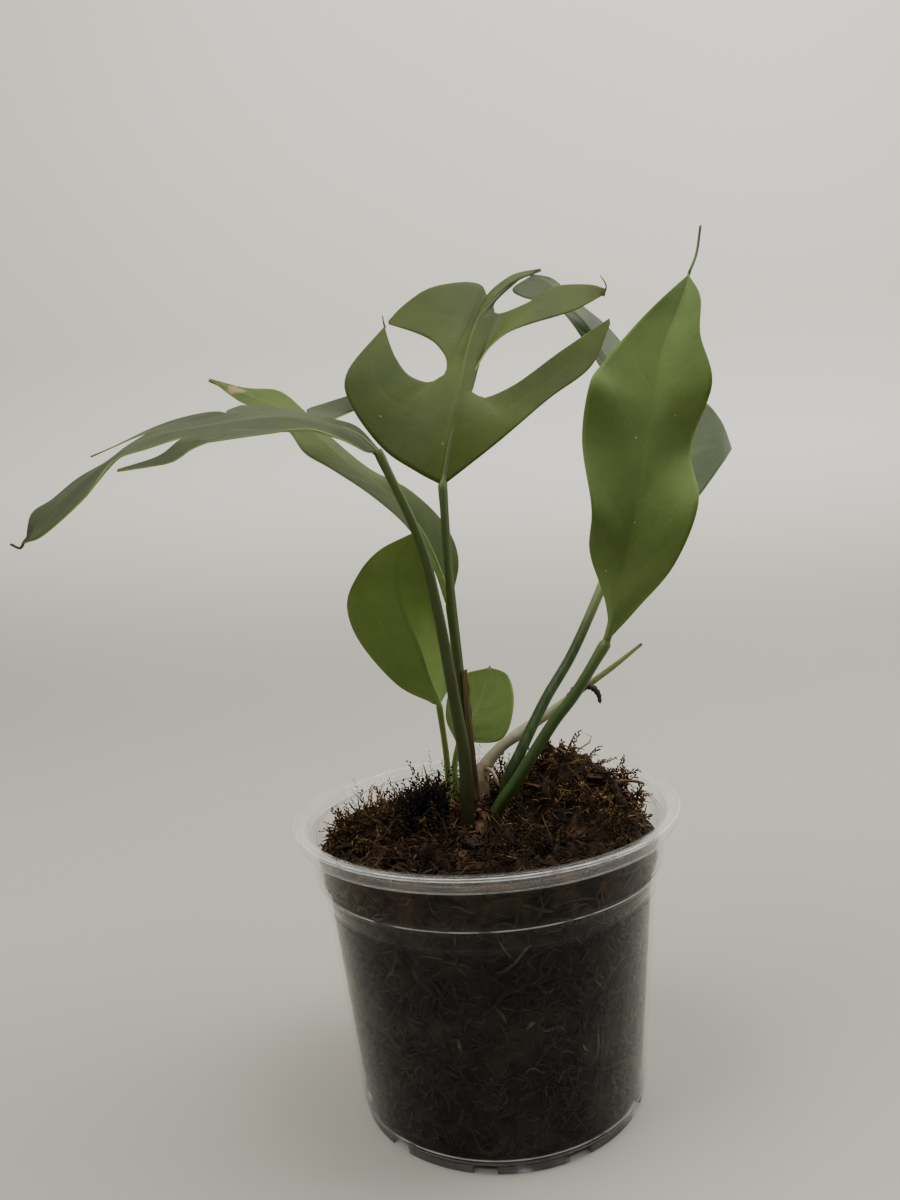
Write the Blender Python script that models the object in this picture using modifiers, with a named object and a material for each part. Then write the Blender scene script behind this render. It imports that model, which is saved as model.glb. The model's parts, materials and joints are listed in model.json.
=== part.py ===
"""Young split-leaf climbing aroid in a clear nursery pot, with its soil.

Units are metres in Blender, and the named sizes below are millimetres.
The pot stands on z = 0 with its axis on the Z axis, and -Y is the front.
"""

import math
import random

import bmesh
import bpy
import numpy as np
from mathutils import Vector

MM = 0.001
NAME = "potted_split_leaf_aroid"

# Pot, in millimetres
RIM_R = 60.0
POT_H = 91.5
RIM_BAND_H = 4.5
RIM_BAND_R = 58.9
STEP_Z = 74.6
STEP_R = 53.8
SHOULDER_Z = 67.0
SHOULDER_R = 51.3
BASE_RING_Z = 4.3
BASE_RING_R = 45.4
FOOT_R = 44.6
WALL = 0.9
FLOOR_T = 1.2
# How far in from the rim's outer edge the rim's other corners lie
RIM_ROUND = 0.4
RIM_FOLD = 1.3
RIM_LIP = 3.2
RIM_UNDER = 3.9
COLLAR_TOP_IN = 4.4
COLLAR_OUT = 5.4
COLLAR_IN = 6.3
BAND_T = 1.0
RIM_TOP_T = 1.2
# The step ring, the shoulder's and the foot's small bevels
STEP_RISE = 1.2
STEP_LIP = 0.3
STEP_UNDER = 0.9
STEP_DROP = 2.0
SHOULDER_RISE = 1.5
BASE_BEVEL = 0.45
FOOT_DRAFT = 0.3
FLOOR_INSET = 1.4
POT_STEPS = 56
SHARP_ANGLE = math.radians(35)
FOOT_SLOTS = 10
FOOT_SLOT_W = 7.0
FOOT_SLOT_H = 2.8
CUT_DEPTH = 6.0
CUT_BELOW = 2.0
FLOOR_HOLES = 6
FLOOR_HOLE_R = 3.0
FLOOR_HOLE_RING_R = 27.0

# Soil, in millimetres
GAP = 0.3
SOIL_EDGE_Z = 79.5
SOIL_FRONT_RISE = 6.0
SOIL_EDGE_GAP = 1.0
SOIL_FADE_R = 52.5
SOIL_FADE = 8.0
SOIL_AROUND = 44
SOIL_RINGS = 11
SOIL_ROUGH = 0.65
# Heaps: x, y, height, spread
HEAPS = (
    (24, 4, 20, 13),
    (38, -8, 8, 13),
    (-37, -4, 8, 10),
    (-14, -8, 8, 14),
    (6, -30, 3, 14),
    (-4, 28, 6, 18),
)
# Bark on the soil
CHIP_COUNT = 46
CHIP_REACH = 46.0
CHIP_LIFT = 0.5
CHIP_TILT = 0.5
TWIG_SHARE = 0.4
TWIG_T = 1.3
CHIP_T = 1.6
STEMS_AT = (-1, -4)
STEMS_CLEAR = 20.0

# Leaves, in millimetres
BLADE_T = 0.8
SEAM_STEPS = 3
LOBE_STEPS = 5
RIB_STEPS = 2
PETIOLE_STEPS = 3
# The midrib under the blade: how deep it lies, and its radii a quarter along and at the tip
RIB_SINK = 0.35
RIB_START = 0.75
RIB_R = 0.75
RIB_TIP_R = 0.42
HOLE_ROOM = 0.4
HOLE_BELOW = 0.4
ROOT_Z = 80.0
WELD = 0.05

COLOURS = {
    "clear_plastic": ((0.82, 0.84, 0.83), 0.12),
    "soil": ((0.045, 0.026, 0.015), 0.95),
    "leaf_dark": ((0.085, 0.125, 0.028), 0.42),
    "leaf_grey": ((0.115, 0.15, 0.06), 0.4),
    "leaf_young": ((0.21, 0.29, 0.06), 0.45),
    "leaf_light": ((0.13, 0.2, 0.04), 0.45),
    "stem_pale": ((0.3, 0.29, 0.15), 0.6),
    "dry_skin": ((0.2, 0.13, 0.07), 0.8),
}
CLEAR_ALPHA = 0.3


def clear_scene():
    for obj in list(bpy.data.objects):
        bpy.data.objects.remove(obj, do_unlink=True)


def material(name):
    found = bpy.data.materials.get(name)
    if found:
        return found
    colour, roughness = COLOURS[name]
    made = bpy.data.materials.new(name)
    made.use_nodes = True
    shader = made.node_tree.nodes["Principled BSDF"]
    shader.inputs["Base Color"].default_value = (*colour, 1.0)
    shader.inputs["Roughness"].default_value = roughness
    shader.inputs["Metallic"].default_value = 0.0
    if name == "clear_plastic":
        shader.inputs["Alpha"].default_value = CLEAR_ALPHA
    return made


def collection(name, hidden=False):
    made = bpy.data.collections.new(name)
    bpy.context.scene.collection.children.link(made)
    made.hide_render = hidden
    return made


def put(mesh, name, group, material_name, smooth=True):
    obj = bpy.data.objects.new(name, mesh)
    group.objects.link(obj)
    mesh.materials.append(material(material_name))
    if smooth:
        mesh.shade_smooth()
    return obj


def as_cutter(obj):
    obj.hide_render = True
    obj.display_type = "WIRE"
    return obj


def apply_modifiers(obj):
    """The object's evaluated shape becomes its own mesh."""
    bpy.context.view_layer.update()
    graph = bpy.context.evaluated_depsgraph_get()
    mesh = bpy.data.meshes.new_from_object(obj.evaluated_get(graph))
    obj.modifiers.clear()
    obj.data = mesh
    return obj


def boolean(obj, group, operation, solver="EXACT"):
    """Joins or cuts the object with a whole collection, then removes that collection's objects."""
    modifier = obj.modifiers.new(operation.title(), "BOOLEAN")
    modifier.operation = operation
    modifier.operand_type = "COLLECTION"
    modifier.collection = group
    modifier.solver = solver
    apply_modifiers(obj)
    for other in list(group.objects):
        bpy.data.objects.remove(other, do_unlink=True)
    return obj


def keep_largest(obj):
    """Drops loose scraps, so that the object is one body."""
    body = bmesh.new()
    body.from_mesh(obj.data)
    left = set(body.verts)
    groups = []
    while left:
        found = {left.pop()}
        waiting = list(found)
        while waiting:
            vert = waiting.pop()
            near = {edge.other_vert(vert) for edge in vert.link_edges} - found
            found |= near
            waiting.extend(near)
        left -= found
        groups.append(found)
    groups.sort(key=len)
    scraps = [vert for group in groups[:-1] for vert in group]
    bmesh.ops.delete(body, geom=scraps, context="VERTS")
    body.to_mesh(obj.data)
    body.free()
    return obj


def curve_through(points, per_span):
    """Points on the smooth curve through the given ones, per_span to each span between two of them.

    Each span is a cubic whose end slopes are half the chord between its neighbours.
    """
    points = np.asarray(points, float)
    padded = np.vstack([2 * points[0] - points[1], points, 2 * points[-1] - points[-2]])
    t = np.linspace(0, 1, per_span, endpoint=False)[:, None]
    spans = []
    for a, b, c, d in zip(padded, padded[1:], padded[2:], padded[3:]):
        cubic = 2 * b + (c - a) * t + (2 * a - 5 * b + 4 * c - d) * t**2
        spans.append(0.5 * (cubic + (3 * b - a - 3 * c + d) * t**3))
    return np.vstack([*spans, points[-1:]])


def evenly(points, steps):
    """steps + 1 points at equal lengths along the smooth curve through the given points."""
    dense = curve_through(points, 12) if len(points) > 2 else np.asarray(points, float)
    lengths = np.concatenate([[0], np.cumsum(np.linalg.norm(np.diff(dense, axis=0), axis=1))])
    wanted = np.linspace(0, lengths[-1], steps + 1)
    return np.stack([np.interp(wanted, lengths, dense[:, axis]) for axis in range(3)], axis=1)


def lobe_panel(midrib, low, high, seam_low, seam_high):
    """A loft from the midrib out to a lobe's tip, between its lower and upper edge.

    An edge that begins at a sinus runs straight to it first, in the same steps as its neighbour's.
    """
    edges = []
    for start, edge, seam in ((midrib[0], low, seam_low), (midrib[-1], high, seam_high)):
        if seam:
            inner = evenly([start, edge[0]], SEAM_STEPS)
            edges.append(np.vstack([inner, evenly(edge, LOBE_STEPS)[1:]]))
        else:
            edges.append(evenly([start, *edge], SEAM_STEPS + LOBE_STEPS))
    v = np.linspace(0, 1, len(midrib))[None, :, None]
    lower, upper = edges[0][:, None, :], edges[1][:, None, :]
    grid = (1 - v) * lower + v * upper
    a = np.linspace(0, 1, SEAM_STEPS + LOBE_STEPS + 1)[:, None, None]
    bow = midrib[None, :, :] - grid[:1]
    return grid + np.clip(1 - 2.5 * a, 0, 1) * bow


def margin_panel(midrib, margin):
    """A loft from the midrib straight out to an unbroken edge."""
    edge = evenly(margin, len(midrib) - 1)
    a = np.linspace(0, 1, SEAM_STEPS + 1)[:, None, None]
    return (1 - a) * midrib[None, :, :] + a * edge[None, :, :]


def blade_mesh(name, leaf):
    """All panels of one blade, welded along the midrib and the seams, as a triangulated sheet."""
    midrib = curve_through(leaf["midrib"], RIB_STEPS)
    sheet = bmesh.new()
    for panel in leaf["panels"]:
        first, last = (station * RIB_STEPS for station in panel["span"])
        rib = midrib[first : last + 1]
        if "margin" in panel:
            grid = margin_panel(rib, panel["margin"])
        else:
            grid = lobe_panel(rib, panel["low"], panel["high"], first > 0, True)
        rows, columns = grid.shape[:2]
        corners = [[sheet.verts.new(Vector(p) * MM) for p in row] for row in grid]
        for i in range(rows - 1):
            for j in range(columns - 1):
                sheet.faces.new(
                    (corners[i][j], corners[i + 1][j], corners[i + 1][j + 1], corners[i][j + 1])
                )
    bmesh.ops.remove_doubles(sheet, verts=sheet.verts, dist=WELD * MM)
    bmesh.ops.dissolve_degenerate(sheet, edges=sheet.edges, dist=WELD / 2 * MM)
    bmesh.ops.recalc_face_normals(sheet, faces=sheet.faces)
    bmesh.ops.triangulate(sheet, faces=sheet.faces)
    mesh = bpy.data.meshes.new(name)
    sheet.to_mesh(mesh)
    sheet.free()
    return mesh


def tube(name, points, radii, group, sides_level=1):
    """A closed tube along a curve, whose radius runs smoothly between the given ones."""
    data = bpy.data.curves.new(name, "CURVE")
    data.dimensions = "3D"
    data.bevel_depth = MM
    data.bevel_resolution = sides_level
    data.use_fill_caps = True
    spline = data.splines.new("POLY")
    spline.points.add(len(points) - 1)
    sizes = np.interp(np.linspace(0, 1, len(points)), np.linspace(0, 1, len(radii)), radii)
    for point, place, size in zip(spline.points, points, sizes):
        point.co = (*(Vector(place) * MM), 1.0)
        point.radius = float(size)
    curve = bpy.data.objects.new(name, data)
    group.objects.link(curve)
    bpy.context.view_layer.update()
    graph = bpy.context.evaluated_depsgraph_get()
    mesh = bpy.data.meshes.new_from_object(curve.evaluated_get(graph))
    made = bpy.data.objects.new(name + "_tube", mesh)
    made.matrix_world = curve.matrix_world
    group.objects.link(made)
    bpy.data.objects.remove(curve, do_unlink=True)
    weld = bmesh.new()
    weld.from_mesh(mesh)
    bmesh.ops.remove_doubles(weld, verts=weld.verts, dist=WELD / 5 * MM)
    bmesh.ops.recalc_face_normals(weld, faces=weld.faces)
    weld.to_mesh(mesh)
    weld.free()
    return made


def stalk_points(leaf):
    """The petiole's curve, and the midrib's after it, a little below the blade."""
    petiole = curve_through(leaf["petiole"], PETIOLE_STEPS)
    midrib = curve_through(leaf["midrib"], RIB_STEPS)
    sink = np.asarray(leaf.get("underside", (0, 0, -1)), float) * RIB_SINK
    rib = midrib[1:] + sink
    if "hair" in leaf:
        rib = np.vstack([rib, curve_through([midrib[-1], *leaf["hair"]], RIB_STEPS)[1:]])
    return petiole, rib


def stalk_radii(leaf, petiole, rib):
    thick, thin = leaf["petiole_r"]
    along = np.linspace(0, 1, len(petiole))
    first = thick + (thin - thick) * along
    second = np.interp(np.linspace(0, 1, len(rib)), [0, 0.25, 1], [thin * RIB_START, RIB_R, RIB_TIP_R])
    return np.concatenate([first, second])


def make_leaf(name, leaf, group, scrap):
    """One grown piece: the blade's sheet given its thickness, joined to its petiole and midrib."""
    blade = put(blade_mesh(name, leaf), name, group, leaf["colour"])
    solidify = blade.modifiers.new("Thickness", "SOLIDIFY")
    solidify.thickness = BLADE_T * MM
    solidify.offset = 0
    solidify.use_even_offset = False
    apply_modifiers(blade)
    petiole, rib = stalk_points(leaf)
    points = np.vstack([petiole, rib])
    tube(name, points, stalk_radii(leaf, petiole, rib), scrap)
    return boolean(blade, scrap, "UNION", leaf.get("solver", "EXACT"))


LEAVES = {
    # The split leaf that faces the front, leaning back and bending over at its top
    "leaf_front_split": {
        "colour": "leaf_dark",
        "petiole": ((-3, -9, ROOT_Z), (-4, -7, 107), (-5, -4, 137), (-6, 0, 164), (-6, 2, 191)),
        "petiole_r": (1.7, 1.3),
        "underside": (0, 0.7, -0.7),
        "midrib": (
            (-6, 2, 191), (-2, 6, 208), (1, 12, 220), (4, 22, 233),
            (8, 32, 244), (14, 42, 253), (23, 54, 262), (34, 66, 268),
        ),
        "panels": (
            {
                "span": (0, 2),
                "low": ((-14, 4, 196), (-24, 8, 204), (-33, 12, 218), (-34, 16, 229), (-22, 30, 245)),
                "high": (
                    (-3.4, 18.5, 226.3), (-7.4, 18.5, 224.4), (-10.9, 19, 225), (-15.2, 21, 227.8),
                    (-18.5, 23.5, 233.2), (-20.5, 26.5, 238.8), (-22, 30.5, 245),
                ),
            },
            {
                "span": (2, 4),
                "low": (
                    (-3.4, 18.5, 226.3), (-2.5, 20.5, 228.5), (-2.4, 23, 231.9), (-3.8, 26, 235.3),
                    (-6.6, 29, 239), (-11.6, 32, 242.4), (-21, 37, 247),
                ),
                "high": (
                    (13, 47, 256), (11, 48, 260), (4, 47, 261), (-7, 44, 259), (-16, 40, 253),
                    (-21, 37.5, 248),
                ),
            },
            {"span": (4, 7), "margin": ((13, 47, 256), (17, 51, 260), (24, 58, 265), (34, 66, 268))},
            {
                "span": (0, 2),
                "low": ((0, 4, 195), (13, 9, 204), (29, 16, 216), (44, 22, 226), (52, 29, 240)),
                "high": (
                    (5, 16, 220), (7.6, 16.5, 218.4), (10.4, 17, 218.2), (20, 20, 222.3),
                    (35, 25, 232), (52, 30, 242),
                ),
            },
            {
                "span": (2, 4),
                "low": (
                    (5, 16, 220), (4.7, 17.5, 222.2), (5.6, 20, 225.2), (7.8, 23, 229.5), (11.8, 27, 235),
                    (18.3, 32, 240.2), (27, 37, 243.6), (42, 44, 248), (54, 51, 254),
                ),
                "high": (
                    (15, 42, 249), (18, 44, 249), (28, 48, 253), (37, 51, 258), (49, 52, 258),
                    (55, 52, 256),
                ),
            },
            {"span": (4, 7), "margin": ((15, 42, 249), (16, 48, 254), (26, 57, 263), (34, 66, 268))},
        ),
    },
    # The long split leaf that reaches to the left and hangs at its tip
    "leaf_left_split": {
        "colour": "leaf_grey",
        "petiole": (
            (-6, -16, ROOT_Z), (-5, -15, 107), (-7, -13, 129),
            (-10, -11, 155), (-14, -10, 176), (-24, -8, 202),
        ),
        "petiole_r": (2.1, 1.3),
        "midrib": (
            (-24, -8, 202), (-30, -8, 208), (-37, -8, 211), (-49, -9, 214), (-61, -11, 214),
            (-69, -13, 213), (-77, -15, 212), (-88, -18, 210), (-97, -22, 205),
            (-109, -28, 195), (-121, -30, 184),
        ),
        "hair": ((-122.5, -30, 181.8), (-125, -30, 183)),
        "panels": (
            {
                "span": (0, 4),
                "low": ((-27, -13, 202), (-32, -21, 205), (-40, -30, 208), (-51, -38, 207), (-68, -46, 205)),
                "high": ((-61, -24, 210), (-62, -30, 209), (-65, -38, 207), (-68, -45, 206)),
            },
            {
                "span": (4, 6),
                "low": (
                    (-61, -24, 210), (-65, -31, 207.5), (-70.5, -37, 204.6), (-73, -41, 202.2),
                    (-76, -44, 200.8), (-87, -48, 199.5),
                ),
                "high": ((-76, -25, 209), (-76, -32, 207), (-79, -40, 203), (-87, -47.5, 200)),
            },
            {
                "span": (6, 10),
                "margin": (
                    (-76, -25, 209), (-84, -32, 206), (-92, -36, 203), (-99, -40, 194),
                    (-111, -40, 185), (-121, -31, 183),
                ),
            },
            {"span": (0, 2), "margin": ((-24, -7, 203), (-30, -4, 210), (-37, -3, 213))},
            {
                "span": (2, 3),
                "low": (
                    (-37, -3, 213), (-36.5, 5, 214.2), (-34.5, 13, 216), (-31.5, 20, 218.5),
                    (-30, 30, 224),
                ),
                "high": (
                    (-46, 5, 216), (-47, 14, 218.3), (-43, 22, 220.5), (-36, 28, 223),
                    (-30.5, 30, 224.3),
                ),
            },
            {
                "span": (3, 5),
                "low": ((-46, 5, 216), (-52, 14, 218), (-61, 24, 221), (-71, 32, 223)),
                "high": ((-70, 3, 217.5), (-72, 10, 219), (-72, 20, 221), (-72, 31, 223)),
            },
            {
                "span": (5, 7),
                "low": (
                    (-70, 3, 217.5), (-74, 7, 218.8), (-81, 11, 219), (-90, 12, 217.6), (-98, 11, 215),
                    (-105, 7, 211.4), (-112, 0, 207.3),
                ),
                "high": (
                    (-91, -6, 213), (-95, -3, 212.6), (-101, -1, 211), (-107, -0.5, 209),
                    (-112, -0.5, 207.5),
                ),
            },
            {
                "span": (7, 10),
                "margin": (
                    (-91, -6, 213), (-98, -8, 209), (-103.5, -10.5, 204.8), (-111, -14, 200.4),
                    (-117, -19, 194.7), (-121, -24, 191), (-121, -29, 184),
                ),
            },
        ),
    },
    # The pale young leaf behind it
    "leaf_left_young": {
        "colour": "leaf_young",
        "petiole": ((-6, 9, ROOT_Z), (-5, 12, 104), (-6, 15, 129), (-7, 13, 153)),
        "petiole_r": (1.3, 1.0),
        "midrib": (
            (-7, 13, 153), (-9, 15, 164), (-15, 18, 179), (-25, 22, 191), (-36, 26, 200),
            (-46, 30, 210), (-54, 34, 218), (-64, 39, 224), (-75, 43, 229), (-86, 47, 235),
        ),
        "panels": (
            {
                "span": (0, 9),
                "margin": (
                    (-6, 14, 155), (-3, 20, 167), (-7, 26, 179), (-18, 32, 191), (-31, 36, 199),
                    (-43, 40, 210), (-53, 44, 221), (-62, 48, 229), (-74, 48, 231), (-86, 47, 235),
                ),
            },
            {
                "span": (0, 9),
                "margin": (
                    (-8, 12, 154), (-11, 8, 166), (-18, 8, 179), (-29, 10, 190), (-41, 14, 199),
                    (-50, 19, 205), (-56, 26, 213), (-66, 33, 221), (-75, 40, 226), (-86, 47, 235),
                ),
            },
        ),
    },
    # The low round leaf
    "leaf_low_round": {
        "colour": "leaf_light",
        "petiole": ((-11, 4, ROOT_Z), (-11, 4, 93), (-11, 3, 106), (-12, 1, 123)),
        "petiole_r": (1.2, 0.9),
        "underside": (0.3, 0.95, 0),
        "midrib": (
            (-12, 1, 123), (-15, 1, 132), (-17, 0, 141), (-20, -1, 151), (-22, -1.5, 161),
            (-21, -3, 170), (-16, -4.5, 177.5),
        ),
        "panels": (
            {
                "span": (0, 6),
                "margin": (
                    (-14, 1, 124), (-25, 5, 130), (-36, 8, 144), (-39, 8, 156), (-34, 4, 166),
                    (-26.5, -1, 173), (-16, -4.5, 177.5),
                ),
            },
            {
                "span": (0, 6),
                "margin": (
                    (-12, 3, 123), (-9, 7, 128), (-8.5, 9, 137), (-8.5, 8, 148), (-9.5, 4, 157),
                    (-11, 1, 165), (-13, -2, 171.5), (-16, -4.5, 177.5),
                ),
            },
        ),
    },
    # The small broad leaf behind the stems
    "leaf_back_small": {
        "colour": "leaf_light",
        "solver": "MANIFOLD",
        "petiole": ((-9, 13.5, ROOT_Z), (-9, 14.5, 92), (-9, 15, 100), (-7, 16.5, 107)),
        "petiole_r": (1.1, 0.9),
        "underside": (0, 0.9, 0.3),
        "midrib": ((-7, 16.5, 107), (-4, 19, 112), (1, 24, 119), (5, 30, 129)),
        "panels": (
            {"span": (0, 3), "margin": ((-8, 17, 107), (-11, 23, 115), (-7, 29, 126), (5, 30, 129))},
            {
                "span": (0, 3),
                "margin": ((-6, 16.5, 107), (7, 17, 107), (12, 22, 117), (11, 28, 126), (5, 30, 129)),
            },
        ),
    },
    # The large unsplit leaf on the right, with its long hair tip
    "leaf_right_whole": {
        "colour": "leaf_dark",
        "petiole": (
            (1, -12, ROOT_Z), (3, -13, 92), (10, -16, 103), (21, -20, 120), (28, -22, 129), (37, -24, 143),
        ),
        "petiole_r": (2.0, 1.5),
        "underside": (0.3, 0.95, 0),
        "midrib": (
            (37, -24, 143), (39, -25, 149), (42, -27, 161), (46, -29, 175), (49, -30, 190),
            (53, -28, 207), (57, -24, 222), (63, -18, 234), (68, -12, 245),
        ),
        "hair": ((71, -10, 251), (73, -8, 259)),
        "panels": (
            {
                "span": (0, 8),
                "margin": (
                    (37, -23, 145), (39, -21, 153), (34, -26, 169), (34, -34, 182), (33, -30, 200),
                    (35.5, -32, 214), (40, -27, 220), (51, -22.5, 231), (59.5, -19, 238.3), (68, -12, 245),
                ),
            },
            {
                "span": (0, 8),
                "margin": (
                    (38, -24, 144), (47, -24, 153), (56, -32, 165), (62, -36, 181), (63, -26, 196),
                    (68, -32, 212), (67, -26, 226), (69, -20, 237), (68, -12, 245),
                ),
            },
        ),
    },
    # The split leaf behind it, whose tip folds over to the left
    "leaf_right_split": {
        "colour": "leaf_grey",
        "petiole": (
            (3, -3, ROOT_Z), (7, -4, 98), (12, -4, 108), (21, 0, 123), (31, 4, 137), (43, 8, 159),
        ),
        "petiole_r": (1.9, 1.5),
        "underside": (0, 0.7, -0.7),
        "midrib": (
            (43, 8, 159), (48, 9, 169), (52, 12, 181), (55, 18, 193), (57, 26, 207), (56, 35, 221),
            (52, 44, 233), (48, 52, 244), (42, 62, 255), (37, 70, 264), (31, 77, 268),
        ),
        "panels": (
            {
                "span": (0, 3),
                "low": ((46, 6, 158), (58, 2, 168), (71, 4, 181), (81, 8, 192), (85, 12, 196)),
                "high": ((66, 26, 203), (71, 29, 209), (80, 28, 213), (84, 20, 206), (85, 13, 197)),
            },
            {
                "span": (3, 5),
                "low": ((66, 26, 203), (69, 32, 213), (78, 38, 223), (84, 42, 231)),
                "high": ((63, 38, 224), (67, 42, 229), (74, 44, 232), (84, 43, 232)),
            },
            {
                "span": (5, 10),
                "margin": (
                    (63, 38, 224), (59, 48, 236), (54, 55, 245), (45, 64, 256), (39, 71, 265), (31, 77, 269),
                ),
            },
            {
                "span": (0, 4),
                "low": ((42, 12, 159), (45, 18, 169), (45, 26, 183), (47, 34, 200), (51, 40, 212)),
                "high": ((52, 30, 209), (51, 34, 212), (51, 38, 214), (51, 41, 213)),
            },
            {
                "span": (4, 10),
                "margin": (
                    (52, 30, 209), (51, 38, 223), (47, 46, 235), (39, 60, 252), (27, 73, 260), (24, 77, 264),
                    (31, 77, 268),
                ),
            },
        ),
    },
}

STEM = ((-2, 4, ROOT_Z), (-1, 4.5, 92), (0, 5, 100), (6, 6, 107), (14, 7, 112), (21, 8, 116), (33, 10, 123))
STEM_R = (3.0, 2.8, 2.4, 1.7, 1.9, 1.5, 1.2)
OLD_TIP = ((30, 9.5, 121.2), (33, 10, 123), (44, 12, 129.5), (54, 14, 136))
OLD_TIP_R = (1.0, 1.1, 0.9, 0.5)
SHEATH_CURL = ((29, 9, 121), (32, 8, 124.5), (36, 8.5, 124.5), (38.5, 9, 122), (39, 9, 119))
SHEATH_CURL_R = (1.0, 1.1, 1.0, 0.8, 0.5)
ROOTLET = ((0.5, 4.5, 101), (2.5, -0.5, 102), (4, -2.5, 100), (4.6, -3.2, 97.5))
ROOTLET_R = (0.6, 0.6, 0.5, 0.4)
STEM_STEPS = 2
TWIG_STEPS = 3

# The dry sheath: heights, the arc it spans at its foot, where its middle faces, and how much it narrows
SHEATH_LOW = 95.3
SHEATH_HIGH = 135.0
SHEATH_ROWS = 9
SHEATH_AROUND = 8
SHEATH_TURN = (math.radians(-75), math.radians(95))
SHEATH_FACES = math.radians(-20)
SHEATH_NARROWS = 0.75
SHEATH_ROOM = 0.25
SHEATH_T = 0.6


def profile_solid(name, profile, steps, group, material_name):
    """A turned solid: the profile runs down the outside, then up the inside."""
    mesh = bpy.data.meshes.new(name)
    count = len(profile)
    ends_on_axis = profile[0][0] == 0 or profile[-1][0] == 0
    edges = [(i, i + 1) for i in range(count - 1)]
    if not ends_on_axis:
        edges.append((count - 1, 0))
    mesh.from_pydata([(r * MM, 0, z * MM) for r, z in profile], edges, [])
    obj = put(mesh, name, group, material_name, smooth=False)
    screw = obj.modifiers.new("Turn", "SCREW")
    screw.steps = steps
    screw.render_steps = steps
    screw.use_merge_vertices = True
    screw.merge_threshold = WELD * MM
    apply_modifiers(obj)
    tidy = bmesh.new()
    tidy.from_mesh(obj.data)
    bmesh.ops.remove_doubles(tidy, verts=tidy.verts, dist=WELD / 10 * MM)
    bmesh.ops.recalc_face_normals(tidy, faces=tidy.faces)
    tidy.to_mesh(obj.data)
    tidy.free()
    obj.data.shade_smooth()
    obj.data.set_sharp_from_angle(angle=SHARP_ANGLE)
    return obj


def wall_inside(z):
    """Inner radius of the pot's wall at a height."""
    heights = (FLOOR_T, BASE_RING_Z, SHOULDER_Z, STEP_Z, POT_H - RIM_BAND_H, POT_H)
    radii = (
        FOOT_R - FLOOR_INSET,
        BASE_RING_R - WALL,
        SHOULDER_R - WALL,
        STEP_R - WALL,
        RIM_R - COLLAR_IN,
        RIM_R - RIM_LIP,
    )
    return float(np.interp(z, heights, radii))


def pot_profile():
    """Down the outside from the rim to the foot, along the floor, then up the inside."""
    under_rim = POT_H - RIM_TOP_T
    under_band = POT_H - RIM_BAND_H
    rim = (
        (RIM_R - RIM_LIP, POT_H), (RIM_R - RIM_ROUND, POT_H), (RIM_R, POT_H - RIM_ROUND * 1.5),
        (RIM_BAND_R, under_band), (RIM_BAND_R - BAND_T, under_band), (RIM_R - RIM_FOLD, under_rim),
        (RIM_R - RIM_UNDER, under_rim), (RIM_R - COLLAR_OUT, under_band),
    )
    wall = (
        (STEP_R + STEP_LIP, STEP_Z + STEP_RISE), (STEP_R, STEP_Z), (STEP_R - STEP_UNDER, STEP_Z - STEP_DROP),
        (SHOULDER_R + STEP_LIP, SHOULDER_Z + SHOULDER_RISE), (SHOULDER_R, SHOULDER_Z),
        (BASE_RING_R, BASE_RING_Z + BASE_BEVEL), (BASE_RING_R, BASE_RING_Z - BASE_BEVEL),
    )
    foot = ((FOOT_R, BASE_RING_Z - RIM_TOP_T), (FOOT_R - FOOT_DRAFT, 0), (0, 0), (0, FLOOR_T))
    inner = [(wall_inside(z), z) for z in (FLOOR_T, BASE_RING_Z, SHOULDER_Z, STEP_Z, under_band)]
    lip = ((RIM_R - COLLAR_TOP_IN, POT_H - BAND_T), (RIM_R - RIM_LIP, POT_H))
    return (*rim, *wall, *foot, *inner, *lip)


def make_pot(group, cutters):
    """Rim with a turned-down band, a shoulder with a step ring, a tapered wall and a slotted foot."""
    pot = profile_solid("pot", pot_profile(), POT_STEPS, group, "clear_plastic")
    reach = FOOT_R - CUT_DEPTH / 10
    for i in range(FOOT_SLOTS):
        turn = 2 * math.pi * (i + 0.25) / FOOT_SLOTS
        bpy.ops.mesh.primitive_cube_add(size=MM)
        slot = as_cutter(bpy.context.object)
        slot.name = f"foot_slot_{i}"
        slot.scale = (CUT_DEPTH, FOOT_SLOT_W, FOOT_SLOT_H + CUT_BELOW)
        slot.location = Vector(ring_point(reach, turn, (FOOT_SLOT_H - CUT_BELOW) / 2)) * MM
        slot.rotation_euler = (0, 0, turn)
        move_to(slot, cutters)
    for i in range(FLOOR_HOLES):
        turn = 2 * math.pi * i / FLOOR_HOLES
        bpy.ops.mesh.primitive_cylinder_add(vertices=16, radius=FLOOR_HOLE_R * MM, depth=4 * FLOOR_T * MM)
        hole = as_cutter(bpy.context.object)
        hole.name = f"drain_hole_{i}"
        hole.location = Vector(ring_point(FLOOR_HOLE_RING_R, turn, 0)) * MM
        move_to(hole, cutters)
    boolean(pot, cutters, "DIFFERENCE")
    pot.data.set_sharp_from_angle(angle=SHARP_ANGLE)
    return pot


def move_to(obj, group):
    for other in list(obj.users_collection):
        other.objects.unlink(obj)
    group.objects.link(obj)


def soil_height(x, y):
    """Height of the soil's top: a level that rises to the front, rounded heaps on it, and fixed ripples."""
    fade = min(1.0, max(0.0, (SOIL_FADE_R - math.hypot(x, y)) / SOIL_FADE))
    heaps = 0
    for hx, hy, height, spread in HEAPS:
        heaps += height * math.exp(-((x - hx) ** 2 + (y - hy) ** 2) / (2 * spread**2))
    ripple = math.sin(0.9 * x + 0.4 * y) + math.sin(1.3 * y - 0.7 * x + 1) + math.sin(0.5 * x + 1.7 * y + 2)
    front = SOIL_FRONT_RISE * max(0.0, -y / SOIL_FADE_R)
    return SOIL_EDGE_Z + front + (heaps + SOIL_ROUGH * ripple) * fade


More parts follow.
